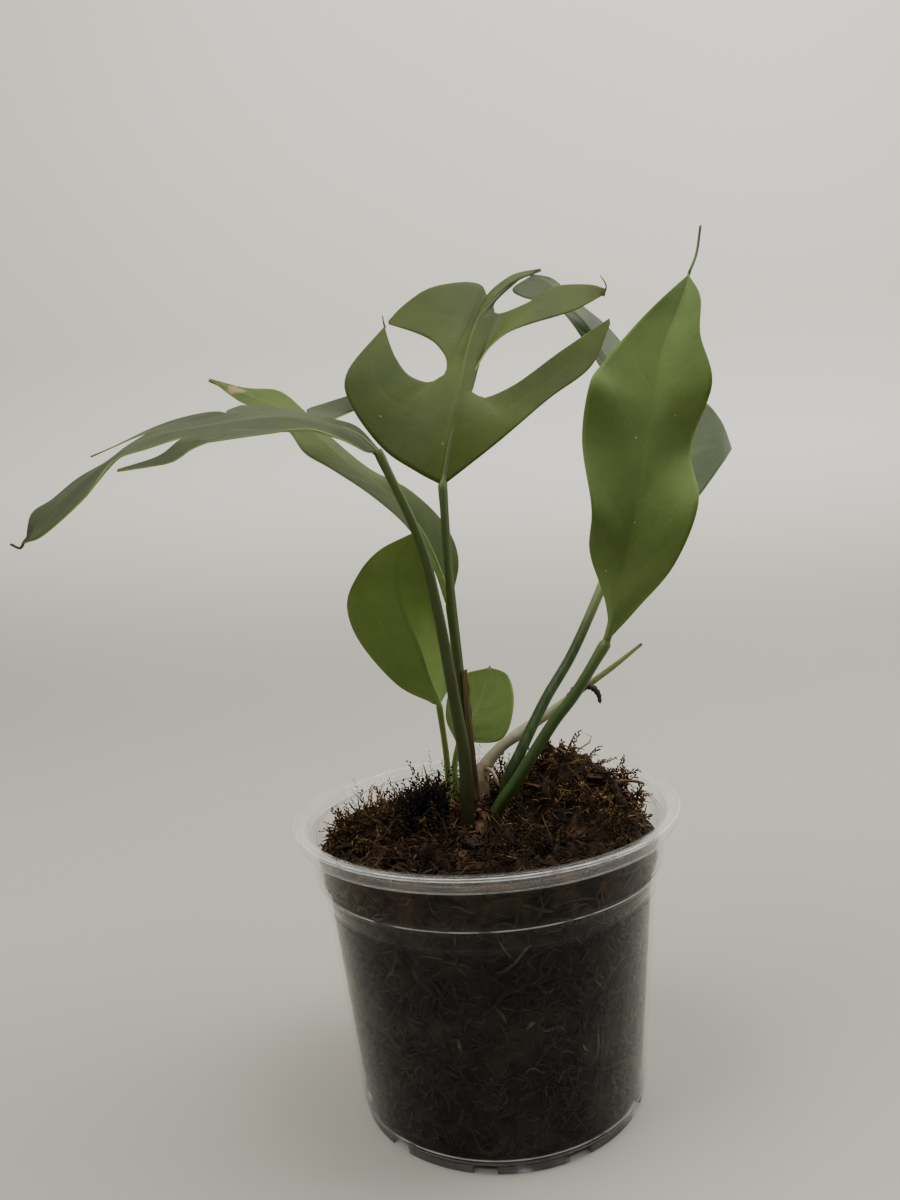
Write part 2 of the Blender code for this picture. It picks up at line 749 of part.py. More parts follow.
def soil_rings():
    """Rings of points up the pot's inside, then in across the top."""
    rings = []
    for z in (FLOOR_T + GAP, BASE_RING_Z, SHOULDER_Z, STEP_Z):
        rings.append([ring_point(wall_inside(z) - GAP, a, z) for a in angles()])
    edge_r = wall_inside(SOIL_EDGE_Z) - GAP - SOIL_EDGE_GAP
    for k in range(SOIL_RINGS):
        r = edge_r * (1 - k / SOIL_RINGS)
        flat = [ring_point(r, a, 0) for a in angles(k)]
        rings.append([(x, y, soil_height(x, y)) for x, y, _ in flat])
    return rings


def make_soil(group, cutters, chips):
    """The filling: its side follows the pot's inside, and its top is heaped and rough."""
    body = bmesh.new()
    corners = [[body.verts.new(Vector(p) * MM) for p in ring] for ring in soil_rings()]
    for low, high in zip(corners, corners[1:]):
        for i in range(SOIL_AROUND):
            j = (i + 1) % SOIL_AROUND
            body.faces.new((low[i], low[j], high[j]))
            body.faces.new((low[i], high[j], high[i]))
    top = body.verts.new(Vector((0, 0, soil_height(0, 0))) * MM)
    bottom = body.verts.new(Vector((0, 0, FLOOR_T + GAP)) * MM)
    for i in range(SOIL_AROUND):
        j = (i + 1) % SOIL_AROUND
        body.faces.new((corners[-1][i], corners[-1][j], top))
        body.faces.new((corners[0][j], corners[0][i], bottom))
    bmesh.ops.recalc_face_normals(body, faces=body.faces)
    mesh = bpy.data.meshes.new("soil")
    body.to_mesh(mesh)
    body.free()
    soil = put(mesh, "soil", group, "soil", smooth=False)
    add_chips(chips)
    boolean(soil, chips, "UNION")
    add_stalk_holes(cutters)
    return keep_largest(boolean(soil, cutters, "DIFFERENCE"))


def add_stalk_holes(cutters):
    """One plain hole for each stalk and for the stem, a little wider and deeper than what stands in it."""
    below = np.array((0, 0, HOLE_BELOW))
    for name, leaf in LEAVES.items():
        petiole, rib = stalk_points(leaf)
        radii = stalk_radii(leaf, petiole, rib)[: len(petiole)] + HOLE_ROOM
        as_cutter(tube("hole_" + name, [petiole[0] - below, *petiole[1:]], radii, cutters))
    bed = curve_through(STEM, STEM_STEPS)
    bed[0] -= below
    as_cutter(tube("hole_stem", bed, np.array(STEM_R) + HOLE_ROOM, cutters, sides_level=2))


def angles(shift=0):
    return [2 * math.pi * (i + 0.5 * shift) / SOIL_AROUND for i in range(SOIL_AROUND)]


def ring_point(r, a, z):
    return (r * math.cos(a), r * math.sin(a), z)


def add_chips(chips):
    """Small flat chips and twigs of bark, strewn on the soil and sunk well into it."""
    rng = random.Random(7)
    for i in range(CHIP_COUNT):
        turn = rng.uniform(0, 2 * math.pi)
        r = CHIP_REACH * math.sqrt(rng.uniform(0.02, 1))
        x, y, _ = ring_point(r, turn, 0)
        twig = rng.random() < TWIG_SHARE
        size = (rng.uniform(5, 9), rng.uniform(3, 5), CHIP_T)
        if twig:
            size = (rng.uniform(7, 13), TWIG_T, TWIG_T)
        if math.dist((x, y), STEMS_AT) < STEMS_CLEAR:
            continue
        bpy.ops.mesh.primitive_cube_add(size=MM)
        chip = bpy.context.object
        chip.name = f"chip_{i}"
        chip.scale = size
        chip.location = Vector((x, y, soil_height(x, y) + CHIP_LIFT)) * MM
        tilts = [rng.uniform(-CHIP_TILT, CHIP_TILT) for _ in range(2)]
        chip.rotation_euler = (*tilts, rng.uniform(0, math.pi))
        move_to(chip, chips)


def make_stem(group, scrap):
    """The short stem, the old sheathed stalk that leans from it, and that stalk's dry curled skin."""
    stem = tube("stem", curve_through(STEM, STEM_STEPS), STEM_R, scrap, sides_level=2)
    stem.name = "stem"
    move_to(stem, group)
    stem.data.materials.append(material("stem_pale"))
    stem.data.shade_smooth()
    tube("old_tip", curve_through(OLD_TIP, TWIG_STEPS), OLD_TIP_R, scrap)
    tube("curl", curve_through(SHEATH_CURL, TWIG_STEPS), SHEATH_CURL_R, scrap)
    tube("rootlet", curve_through(ROOTLET, TWIG_STEPS), ROOTLET_R, scrap)
    return boolean(stem, scrap, "UNION")


def sheath_rows():
    """Rows of points round the front stalk: part of a circle that narrows as it rises."""
    front = LEAVES["leaf_front_split"]
    path, rib = stalk_points(front)
    radii = stalk_radii(front, path, rib)[: len(path)]
    across = np.linspace(*SHEATH_TURN, SHEATH_AROUND)
    rows = []
    for z in np.linspace(SHEATH_LOW, SHEATH_HIGH, SHEATH_ROWS):
        x, y, stalk_r = (np.interp(z, path[:, 2], values) for values in (path[:, 0], path[:, 1], radii))
        r = stalk_r + GAP + SHEATH_ROOM
        share = (z - SHEATH_LOW) / (SHEATH_HIGH - SHEATH_LOW)
        turns = SHEATH_FACES + across * (1 - SHEATH_NARROWS * share)
        rows.append([(x + r * math.cos(a), y + r * math.sin(a), z) for a in turns])
    return rows


def make_sheath(group):
    """The dry skin that stands along the front stalk: part of a round shell, tapering upwards."""
    sheet = bmesh.new()
    rows = [[sheet.verts.new(Vector(p) * MM) for p in row] for row in sheath_rows()]
    for low, high in zip(rows, rows[1:]):
        for i in range(SHEATH_AROUND - 1):
            sheet.faces.new((low[i], low[i + 1], high[i + 1], high[i]))
    bmesh.ops.triangulate(sheet, faces=sheet.faces)
    mesh = bpy.data.meshes.new("dry_sheath")
    sheet.to_mesh(mesh)
    sheet.free()
    sheath = put(mesh, "dry_sheath", group, "dry_skin")
    solidify = sheath.modifiers.new("Thickness", "SOLIDIFY")
    solidify.thickness = SHEATH_T * MM
    solidify.offset = 1
    solidify.use_even_offset = True
    return sheath


def main():
    clear_scene()
    parts = collection(NAME)
    cutters = collection("cutters", hidden=True)
    scrap = collection("joined_shapes", hidden=True)
    chips = collection("chips", hidden=True)
    make_pot(parts, cutters)
    make_soil(parts, cutters, chips)
    for name, leaf in LEAVES.items():
        make_leaf(name, leaf, parts, scrap)
    make_stem(parts, scrap)
    make_sheath(parts)


main()
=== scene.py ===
# %% [markdown]
# Young climbing aroid with split leaves, in a clear nursery pot.
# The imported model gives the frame: where the pot stands, where every stalk leaves the soil and how far
# every leaf reaches. This script puts finer surfaces and finishes in the same places.

# %% Load the frame
import json
import math

import bmesh
import bpy
import numpy as np
from mathutils import Matrix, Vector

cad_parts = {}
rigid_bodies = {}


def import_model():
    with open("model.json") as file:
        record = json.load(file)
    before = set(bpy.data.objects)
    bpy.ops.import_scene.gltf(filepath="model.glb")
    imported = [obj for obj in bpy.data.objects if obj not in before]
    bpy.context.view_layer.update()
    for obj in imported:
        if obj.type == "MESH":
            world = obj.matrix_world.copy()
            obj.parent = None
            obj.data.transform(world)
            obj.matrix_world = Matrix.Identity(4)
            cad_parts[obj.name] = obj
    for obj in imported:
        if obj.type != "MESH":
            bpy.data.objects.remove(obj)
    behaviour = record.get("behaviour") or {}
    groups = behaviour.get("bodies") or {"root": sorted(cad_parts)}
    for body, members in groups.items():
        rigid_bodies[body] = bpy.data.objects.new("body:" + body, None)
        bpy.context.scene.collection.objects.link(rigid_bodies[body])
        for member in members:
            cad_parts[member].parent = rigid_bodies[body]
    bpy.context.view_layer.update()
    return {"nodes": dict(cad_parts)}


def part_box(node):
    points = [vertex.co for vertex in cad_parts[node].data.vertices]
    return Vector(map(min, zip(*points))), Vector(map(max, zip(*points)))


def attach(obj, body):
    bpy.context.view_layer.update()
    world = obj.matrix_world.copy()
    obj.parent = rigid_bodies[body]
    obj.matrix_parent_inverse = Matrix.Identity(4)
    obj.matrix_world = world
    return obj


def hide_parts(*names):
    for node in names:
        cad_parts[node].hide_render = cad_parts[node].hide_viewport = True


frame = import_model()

MM = 0.001
print("nodes in the frame:", sorted(frame["nodes"]))

# %% [markdown]
# Most of this plant is thin sheets and thin tubes. Both are grids of points: a sheet is worked out from
# how far a point lies from the midrib and how far along it, and a tube from its place along the stalk and
# the turn round it. The helpers here make the faces of such a grid and weld several grids into one mesh.

# %% Grids of points into meshes
WELD = 0.004


def grid_quads(rows, columns):
    """The four corners of each cell of a grid of points, as indices."""
    at = np.arange(rows * columns).reshape(rows, columns)
    return np.stack([at[:-1, :-1], at[1:, :-1], at[1:, 1:], at[:-1, 1:]], axis=-1).reshape(-1, 4)


def stacked(sheets):
    """Several (points, map) grids as one list of points, map values and quads."""
    points, maps, quads, start = [], [], [], 0
    for grid, plan in sheets:
        rows, columns = grid.shape[:2]
        quads.append(grid_quads(rows, columns) + start)
        points.append(grid.reshape(-1, 3))
        maps.append(plan.reshape(-1, 2))
        start += rows * columns
    return np.vstack(points), np.vstack(maps), np.vstack(quads)


def new_mesh(name, points, maps, quads, weld=WELD):
    """A mesh from points in millimetres, with its map, welded, closed at its poles and facing outwards."""
    mesh = bpy.data.meshes.new(name)
    mesh.from_pydata(points * MM, [], quads.tolist())
    layer = mesh.uv_layers.new(name="plan")
    layer.uv.foreach_set("vector", maps[quads.ravel()].astype(np.float32).ravel())
    body = bmesh.new()
    body.from_mesh(mesh)
    bmesh.ops.remove_doubles(body, verts=body.verts, dist=weld * MM)
    bmesh.ops.dissolve_degenerate(body, edges=body.edges, dist=weld * MM)
    bmesh.ops.recalc_face_normals(body, faces=body.faces)
    body.to_mesh(mesh)
    body.free()
    mesh.shade_smooth()
    return mesh


def new_piece(name, mesh, *materials):
    """The object of a finished mesh, at the origin and riding on the root body."""
    piece = bpy.data.objects.new(name, mesh)
    bpy.context.scene.collection.objects.link(piece)
    for material in materials:
        mesh.materials.append(material)
    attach(piece, "root")
    return piece


def applied(piece):
    """Turns the piece's modifiers into its own mesh."""
    bpy.context.view_layer.update()
    graph = bpy.context.evaluated_depsgraph_get()
    mesh = bpy.data.meshes.new_from_object(piece.evaluated_get(graph))
    piece.modifiers.clear()
    piece.data = mesh
    return piece


def stands_for(piece, node):
    """Hides the plain node that the piece replaces, and prints its faces."""
    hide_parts(node)
    print(f"{piece.name}: {len(piece.data.polygons)} faces")


print(f"points closer than {WELD} mm are welded")

# %% [markdown]
# Margins, midribs and stalks are grown lines, so each is a smooth curve through a few measured points.
# A cubic through the points keeps the measured places, where a spline with handles would cut corners.

# %% Smooth curves
DENSE = 24  # points on each span while a length is measured


def curve_through(points, per_span):
    """Cubic spans through the points: at each point the slope is half the chord of its neighbours."""
    points = np.asarray(points, float)
    padded = np.vstack([2 * points[0] - points[1], points, 2 * points[-1] - points[-2]])
    t = np.linspace(0, 1, per_span, endpoint=False)[:, None]
    spans = []
    for a, b, c, d in zip(padded, padded[1:], padded[2:], padded[3:]):
        cubic = 2 * b + (c - a) * t + (2 * a - 5 * b + 4 * c - d) * t**2
        spans.append(0.5 * (cubic + (3 * b - a - 3 * c + d) * t**3))
    return np.vstack([*spans, points[-1:]])


def evenly(points, steps):
    """steps + 1 points at equal lengths along the smooth curve through the given points."""
    dense = curve_through(points, DENSE) if len(points) > 2 else np.asarray(points, float)
    lengths = np.concatenate([[0], np.cumsum(np.linalg.norm(np.diff(dense, axis=0), axis=1))])
    wanted = np.linspace(0, lengths[-1], steps + 1)
    return np.stack([np.interp(wanted, lengths, dense[:, axis]) for axis in range(3)], axis=1)


print("middle of a test bend:", evenly(((0, 0, 0), (7, 3, 0), (10, 10, 0)), 2)[1].round(2))


# %% [markdown]
# A stalk is a round profile carried along its curve. The profile needs a steady sense of "up" so that it
# doesn't twist, so the side direction comes from the one axis that the whole curve is least aligned with.

# %% A profile carried along a path
CAP_START, CAP_END = 0.4, 0.9  # how far the closing points stand out, in radii


def frames_along(path):
    """Unit tangent, side and up at each point: side is tangent x axis, up is side x tangent."""
    tangent = np.gradient(path, axis=0)
    tangent /= np.linalg.norm(tangent, axis=1, keepdims=True)
    axis = np.linalg.svd(tangent, full_matrices=True)[2][-1]
    side = np.cross(tangent, axis)
    side /= np.linalg.norm(side, axis=1, keepdims=True)
    return tangent, side, np.cross(side, tangent)


def carried(path, radii, profile):
    """Grid of path + radius * (x * side + y * up), with the ends drawn to a point; plan = (turn, length)."""
    tangent, side, up = frames_along(path)
    x, y = profile[:, 0][None, :, None], profile[:, 1][None, :, None]
    grid = path[:, None] + radii[:, None, None] * (x * side[:, None] + y * up[:, None])
    first = np.broadcast_to(path[0] - tangent[0] * radii[0] * CAP_START, grid[:1].shape)
    last = np.broadcast_to(path[-1] + tangent[-1] * radii[-1] * CAP_END, grid[:1].shape)
    grid = np.concatenate([first, grid, last])
    turn = np.linspace(0, 1, len(profile))
    length = np.concatenate([[0], np.linspace(0, 1, len(path)), [1]])
    plan = np.stack(np.broadcast_arrays(turn[None, :], length[:, None]), axis=-1)
    return grid, plan


def round_profile(sides):
    """A circle of unit radius, its first point repeated at the end."""
    turn = np.linspace(0, 2 * math.pi, sides + 1)
    return np.stack([np.cos(turn), np.sin(turn)], axis=1)


print("points of an eight-sided profile, the first one twice:", len(round_profile(8)))


# %% [markdown]
# Finishes are built in the shader editor, where a long formula is a tangle of Math nodes. A small class
# wraps an output socket, so the same formula is written as ordinary maths and adds the nodes by itself.

# %% Shader maths as expressions
class Field:
    """A number that varies over a surface: one output socket with the usual operators."""

    def __init__(self, nodes, socket):
        self.nodes = nodes
        self.socket = socket

    def _with(self, operation, *others):
        sockets = dict(enumerate((self, *others)))
        return self.nodes.node("ShaderNodeMath", {"operation": operation}, sockets)

    def __add__(self, other):
        return self._with("ADD", other)

    __radd__ = __add__

    def __mul__(self, other):
        return self._with("MULTIPLY", other)

    __rmul__ = __mul__

    def __sub__(self, other):
        return self._with("SUBTRACT", other)

    def __rsub__(self, other):
        return self.nodes.node("ShaderNodeMath", {"operation": "SUBTRACT"}, {0: other, 1: self})

    def __truediv__(self, other):
        return self._with("DIVIDE", other)

    def __pow__(self, other):
        return self._with("POWER", other)

    def less(self, other):
        return self._with("MINIMUM", other)

    def size(self):
        return self._with("ABSOLUTE")

    def part(self):
        return self._with("FRACT")


class Nodes:
    """The node tree of a material or of the world, with one method for every node."""

    def __init__(self, owner):
        owner.use_nodes = True
        self.owner = owner
        self.tree = owner.node_tree

    def node(self, kind, settings=None, sockets=None, out=0):
        """Adds a node: settings first, then each socket's value or link."""
        made = self.tree.nodes.new(kind)
        for name, value in (settings or {}).items():
            if name == "stops":
                self._stops(made.color_ramp, value)
            else:
                setattr(made, name, value)
        for name, value in (sockets or {}).items():
            self.feed(made.inputs[name], value)
        return Field(self, made.outputs[out])

    def _stops(self, ramp, stops):
        while len(ramp.elements) < len(stops):
            ramp.elements.new(0.5)
        for element, (place, colour) in zip(ramp.elements, stops):
            element.position = place
            element.color = (*colour, 1.0)

    def feed(self, socket, value):
        """Gives the socket a link, a colour or a number."""
        if isinstance(value, Field):
            self.tree.links.new(value.socket, socket)
        elif isinstance(value, tuple) and len(value) == 3 and socket.type == "RGBA":
            socket.default_value = (*value, 1.0)
        else:
            socket.default_value = value


class Paint(Nodes):
    """A material's tree, with the patterns that the finishes are made of."""

    def __init__(self, name):
        super().__init__(bpy.data.materials.new(name))
        self.shader = self.tree.nodes["Principled BSDF"]

    def where(self, scale=(1, 1, 1)):
        """Object coordinates in metres, stretched by scale."""
        place = self.node("ShaderNodeTexCoord", out="Object")
        return self.node("ShaderNodeMapping", None, {"Vector": place, "Scale": scale})

    def plan(self):
        """The piece's own map, as two fields."""
        both = self.node("ShaderNodeUVMap", {"uv_map": "plan"})
        split = self.node("ShaderNodeSeparateXYZ", None, {0: both})
        return split, Field(self, split.socket.node.outputs[1])

    def height(self):
        """Height above the foot in millimetres."""
        place = self.node("ShaderNodeTexCoord", out="Object")
        return self.node("ShaderNodeSeparateXYZ", None, {0: place}, out=2) / MM

    def depth(self):
        """Distance behind the pot's axis in millimetres."""
        place = self.node("ShaderNodeTexCoord", out="Object")
        return self.node("ShaderNodeSeparateXYZ", None, {0: place}, out=1) / MM

    def noise(self, size_mm, detail=3.0, roughness=0.55, scale=(1, 1, 1)):
        """Cloudy noise whose features are about size_mm across."""
        sockets = {"Vector": self.where(scale), "Scale": 1 / (size_mm * MM)}
        sockets.update({"Detail": detail, "Roughness": roughness})
        return self.node("ShaderNodeTexNoise", None, sockets)

    def cells(self, size_mm, feature="F1", scale=(1, 1, 1)):
        """Cells about size_mm across."""
        sockets = {"Vector": self.where(scale), "Scale": 1 / (size_mm * MM)}
        return self.node("ShaderNodeTexVoronoi", {"feature": feature}, sockets)

    def step(self, value, low, high):
        """0 below low, 1 above high and a smooth rise between; high below low makes it a fall."""
        sockets = {"Value": value, "From Min": low, "From Max": high}
        return self.node("ShaderNodeMapRange", {"interpolation_type": "SMOOTHSTEP"}, sockets)

    def mix(self, share, first, second):
        """A colour between first and second."""
        made = self.node("ShaderNodeMix", {"data_type": "RGBA"}, {"Factor": share})
        node = made.socket.node
        self.feed(node.inputs[6], first)
        self.feed(node.inputs[7], second)
        return Field(self, node.outputs[2])

    def ramp(self, share, stops):
        return self.node("ShaderNodeValToRGB", {"stops": stops}, {0: share})

    def bump(self, height, depth_mm, strength=0.6):
        sockets = {"Height": height, "Distance": depth_mm * MM, "Strength": strength}
        return self.node("ShaderNodeBump", None, sockets)

    def finish(self, colour, roughness=0.5, bump=None, **fixed):
        """Feeds the shader, with fixed numbers on its own sockets, and gives the material."""
        self.feed(self.shader.inputs["Base Color"], colour)
        self.feed(self.shader.inputs["Roughness"], roughness)
        if bump is not None:
            self.feed(self.shader.inputs["Normal"], bump)
        for name, value in fixed.items():
            self.feed(self.shader.inputs[name.replace("_", " ")], value)
        return self.owner


def shade(red, green, blue):
    """A colour given as on screen, 0 to 255, as the shader's linear light."""
    share = np.array((red, green, blue)) / 255
    curved = ((share + 0.055) / 1.055) ** 2.4
    return tuple(float(v) for v in np.where(share <= 0.04045, share / 12.92, curved))


print("mid grey on screen, as linear light:", round(shade(128, 128, 128)[0], 3))


# %% [markdown]
# The pot is a thin drinking-cup sort of moulding: rim, turned-down band, step ring, tapered wall and a
# foot with drain slots. A turned profile is the honest way to make it. Every corner of the profile is
# replaced by a short curve, because the highlight on a moulded edge is what makes clear plastic visible.

# %% Sizes of the pot, from the frame
pot_low, pot_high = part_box("pot")
RIM_R = pot_high.x / MM
POT_H = pot_high.z / MM
RIM_BAND_H = 4.5
RIM_BAND_R = RIM_R - 1.1
STEP_Z, STEP_R = 74.6, RIM_R - 6.2
SHOULDER_Z, SHOULDER_R = 67.0, RIM_R - 8.7
BASE_RING_Z, BASE_RING_R = 4.3, RIM_R - 14.6
FOOT_R = RIM_R - 15.4
WALL, FLOOR_T = 0.9, 1.2
AROUND = 240
OUTER_ROUND, INNER_ROUND = 0.35, 0.3
SLOTS, SLOT_W, SLOT_H = 10, 7.0, 2.8
DRAIN_HOLES, DRAIN_R, DRAIN_RING_R = 6, 3.0, 27.0
print(f"pot: rim radius {RIM_R:.1f} mm, height {POT_H:.1f} mm")


def wall_inside(z):
    """Inner radius of the pot at a height: straight runs between the profile's corners."""
    heights = (FLOOR_T, BASE_RING_Z, SHOULDER_Z, STEP_Z, POT_H - RIM_BAND_H, POT_H)
    radii = (FOOT_R - 1.4, BASE_RING_R - WALL, SHOULDER_R - WALL, STEP_R - WALL, RIM_R - 6.3, RIM_R - 3.2)
    return np.interp(z, heights, radii)


# %% Rounded profile, turned round the axis
def rounded(corners, weights, radius, steps=4):
    """Each corner becomes a quadratic curve, radius long on both sides or a third of the shorter side.

    The last two columns are the weights of the corner's painted highlight line and painted shade line,
    times sin(pi t) along the curve, and 0 on the flats.
    """
    corners = np.asarray(corners, float)
    side = np.diff(corners, axis=0)
    length = np.linalg.norm(side, axis=1, keepdims=True)
    cut = side / length * np.minimum(radius, length / 3)
    middle = corners[1:-1]
    start, end = middle - cut[:-1], middle + cut[1:]
    t = np.linspace(0, 1, steps + 1)[None, :, None]
    bend = (1 - t) ** 2 * start[:, None] + 2 * t * (1 - t) * middle[:, None] + t**2 * end[:, None]
    points = np.vstack([corners[:1], bend.reshape(-1, 2), corners[-1:]])
    none = np.zeros((1, 2))
    lines = np.asarray(weights)[:, None] * np.sin(math.pi * t[0, :, 0])[None, :, None]
    return np.column_stack([points, np.vstack([none, lines.reshape(-1, 2), none])])


def turned(profile, around):
    """Grid of (r cos a, r sin a, z): the profile along one parameter, the turn a along the other."""
    a = np.linspace(0, 2 * math.pi, around + 1)
    r, z = profile[:, 0][:, None], profile[:, 1][:, None]
    grid = np.stack(np.broadcast_arrays(r * np.cos(a), r * np.sin(a), z), axis=-1)
    plan = np.broadcast_to(profile[:, None, 2:], (*grid.shape[:2], 2))
    return grid, plan


under_band = POT_H - RIM_BAND_H
outside = (
    (RIM_R - 3.2, POT_H), (RIM_R - 0.4, POT_H), (RIM_R, POT_H - 0.6), (RIM_BAND_R, under_band),
    (RIM_BAND_R - 1.0, under_band), (RIM_R - 1.3, POT_H - 1.2), (RIM_R - 3.9, POT_H - 1.2),
    (RIM_R - 5.4, under_band), (STEP_R + 0.3, STEP_Z + 1.2), (STEP_R, STEP_Z),
    (STEP_R - 0.9, STEP_Z - 2.0), (SHOULDER_R + 0.2, SHOULDER_Z + 1.5), (SHOULDER_R, SHOULDER_Z),
    (BASE_RING_R, BASE_RING_Z + 0.5), (BASE_RING_R, BASE_RING_Z - 0.4), (FOOT_R, BASE_RING_Z - 1.2),
    (FOOT_R - 0.3, 0.0), (0.0, 0.0),
)
inside = (
    (0.0, FLOOR_T), (wall_inside(FLOOR_T), FLOOR_T), (wall_inside(BASE_RING_Z), BASE_RING_Z),
    (wall_inside(SHOULDER_Z), SHOULDER_Z), (wall_inside(STEP_Z), STEP_Z), (RIM_R - 6.3, under_band),
    (RIM_R - 4.4, POT_H - 1.0), (RIM_R - 3.2, POT_H),
)
# How strong a painted highlight line and a painted shade line each corner draws,
# in the same order and without the two ends
outside_painted_lines = (
    (0.8, 0), (1, 0), (0.9, 0), (0.2, 0.8), (0.3, 0), (0.3, 0.3), (0, 0.8), (0, 0.4), (1, 0), (0, 0.3),
    (0.1, 0.1), (0, 0.2), (0.9, 0), (0.4, 0.2), (0.2, 0.2), (0.6, 0),
)
inside_painted_lines = ((0.2, 0), (0.2, 0), (0.05, 0.1), (0, 0.5), (0.3, 0.5), (0.9, 0))
outer_profile = rounded(outside, outside_painted_lines, OUTER_ROUND)
pot_profile = np.vstack([outer_profile, rounded(inside, inside_painted_lines, INNER_ROUND)])
pot_mesh = new_mesh("pot_moulding", *stacked([turned(pot_profile, AROUND)]))
print("pot profile points:", len(pot_profile))


# %% [markdown]
# Water leaves through slots in the foot and round holes in the floor. Each cutter is a closed block
# longer than the wall, and one Boolean on the whole group of cutters keeps the moulding a single body.

# %% Drain slots and holes
CUT_PAST = 3.0  # how far a cutter reaches past the middle of the wall, both ways
SLOT_BELOW = 2.0
HOLE_SIDES = 32


def block(start, end, profile, radius):
    """A closed bar: the profile carried straight from start to end."""
    path = np.linspace(start, end, 3)
    tangent = (path[1] - path[0]) / np.linalg.norm(path[1] - path[0])
    side = np.cross(tangent, (0, 0, 1) if abs(tangent[2]) < 0.5 else (1, 0, 0))
    up = np.cross(side, tangent)
    ring = radius * (profile[:, :1] * side + profile[:, 1:] * up)
    grid = path[:, None] + ring[None]
    ends = [np.broadcast_to(point, grid[:1].shape) for point in (path[0], path[-1])]
    grid = np.concatenate([ends[0], grid, ends[1]])
    return grid, np.zeros((*grid.shape[:2], 2))


def add_cutters(group):
    """Square bars through the foot at even turns, and round bars through the floor on a ring."""
    corners = np.array([(-1, -1), (1, -1), (1, 1), (-1, 1), (-1, -1)], float)
    corners *= (SLOT_W / 2, (SLOT_H + SLOT_BELOW) / 2)
    for i in range(SLOTS):
        turn = 2 * math.pi * (i + 0.25) / SLOTS
        out = np.array((math.cos(turn), math.sin(turn), 0))
        middle = out * (FOOT_R - 0.6) + (0, 0, (SLOT_H - SLOT_BELOW) / 2)
        sheets = [block(middle - out * CUT_PAST, middle + out * CUT_PAST, corners, 1.0)]
        group.objects.link(bpy.data.objects.new(f"slot_{i}", new_mesh(f"slot_{i}", *stacked(sheets))))
    for i in range(DRAIN_HOLES):
        turn = 2 * math.pi * i / DRAIN_HOLES
        middle = np.array((math.cos(turn), math.sin(turn), 0)) * DRAIN_RING_R
        down = np.array((0, 0, CUT_PAST))
        sheets = [block(middle - down, middle + down, round_profile(HOLE_SIDES), DRAIN_R)]
        group.objects.link(bpy.data.objects.new(f"hole_{i}", new_mesh(f"hole_{i}", *stacked(sheets))))


cutters = bpy.data.collections.new("cutters")
bpy.context.scene.collection.children.link(cutters)
add_cutters(cutters)

# %% [markdown]
# Thin clear plastic shows itself by what it adds: a faint mirror of the room everywhere, a strong one where
# the wall turns away from the eye, a little mist low down, and painted highlight lines and painted shade
# lines along its moulded edges. Fine silt has settled in the foot. Each face mirrors a share of
# MIRROR_HEAD_ON + MIRROR_EDGE * facing ** 5 and lets the rest through; with the mist, the silt and the
# painted lines, that share is the alpha. Metallic tells mirror from mist.

# %% Clear plastic
MIRROR_HEAD_ON, MIRROR_EDGE = 0.006, 0.8
MIST, RIM_MIST, CLEAR_MIST = 0.006, 0.03, 0.001
# Strengths of the painted highlight lines and painted shade lines along the moulded edges, and of the silt
PAINTED_EDGE_HIGHLIGHT, PAINTED_EDGE_SHADE, SILT = 0.55, 0.5, 0.6
# Heights between which the mist low down, the mist of the rim and the silt come in
MIST_Z, RIM_MIST_Z, SILT_Z = (60, 15), (84, 88), (3.4, 2.4)
SHARP_ANGLE = math.radians(40)


def clear_plastic():
    """Alpha is mirror + mist + silt + painted edge lines, and Metallic the mirror's part of it."""
    paint = Paint("clear plastic")
    # The map holds how strong a painted highlight line and a painted shade line are at each point of the
    # profile
    painted_highlight, dark = paint.plan()
    facing = paint.node("ShaderNodeLayerWeight", None, {"Blend": 0.5}, out="Facing")
    mirror = facing**5 * MIRROR_EDGE + MIRROR_HEAD_ON
    z = paint.height()
    low = paint.step(z, *MIST_Z) * paint.step(paint.noise(13, 4), 0.45, 0.8)
    broken_highlight = paint.step(paint.noise(7, 3), 0.2, 0.6)
    # pale is the mist plus the painted highlight lines, broken up in places
    pale = low * MIST + paint.step(z, *RIM_MIST_Z) * RIM_MIST + CLEAR_MIST + painted_highlight * broken_highlight * PAINTED_EDGE_HIGHLIGHT
    silt = paint.step(z, *SILT_Z) * paint.step(paint.noise(9, 3), 0.3, 0.55) * SILT
    mist_silt_and_painted_lines = pale + dark * PAINTED_EDGE_SHADE + silt
    colour = paint.mix(paint.noise(30, 2), shade(236, 238, 236), shade(246, 247, 245))
    # The painted shade lines turn the colour grey, and the silt turns it brown
    colour = paint.mix(dark * PAINTED_EDGE_SHADE / mist_silt_and_painted_lines, colour, shade(96, 96, 92))
    colour = paint.mix(silt / mist_silt_and_painted_lines, colour, shade(66, 58, 48))
    rough = 0.045 + paint.noise(20, 3) * 0.05
    ripple = paint.bump(paint.noise(9, 2, 0.4, (1, 1, 0.3)), 0.06, 0.15)
    shown = mirror + mist_silt_and_painted_lines
    return paint.finish(colour, rough, ripple, Metallic=mirror / shown, Alpha=shown.less(1.0))


pot = new_piece("clear_pot", pot_mesh, clear_plastic())
drains = pot.modifiers.new("Drains", "BOOLEAN")
drains.operation = "DIFFERENCE"
drains.operand_type = "COLLECTION"
drains.collection = cutters
drains.solver = "EXACT"
applied(pot)
for cutter in list(cutters.objects):
    bpy.data.objects.remove(cutter, do_unlink=True)
bpy.data.collections.remove(cutters)
pot.data.set_sharp_from_angle(angle=SHARP_ANGLE)
stands_for(pot, "pot")

# %% [markdown]
# The pot is filled with a loose mix of moss fibre, peat and bark. The solid mass is one turned surface:
# its side follows the wall a hair inside it, and its top is a field of heaps with finer and finer
# ripples. Loose strands and chips then lie on it, so that its skin is never seen bare.

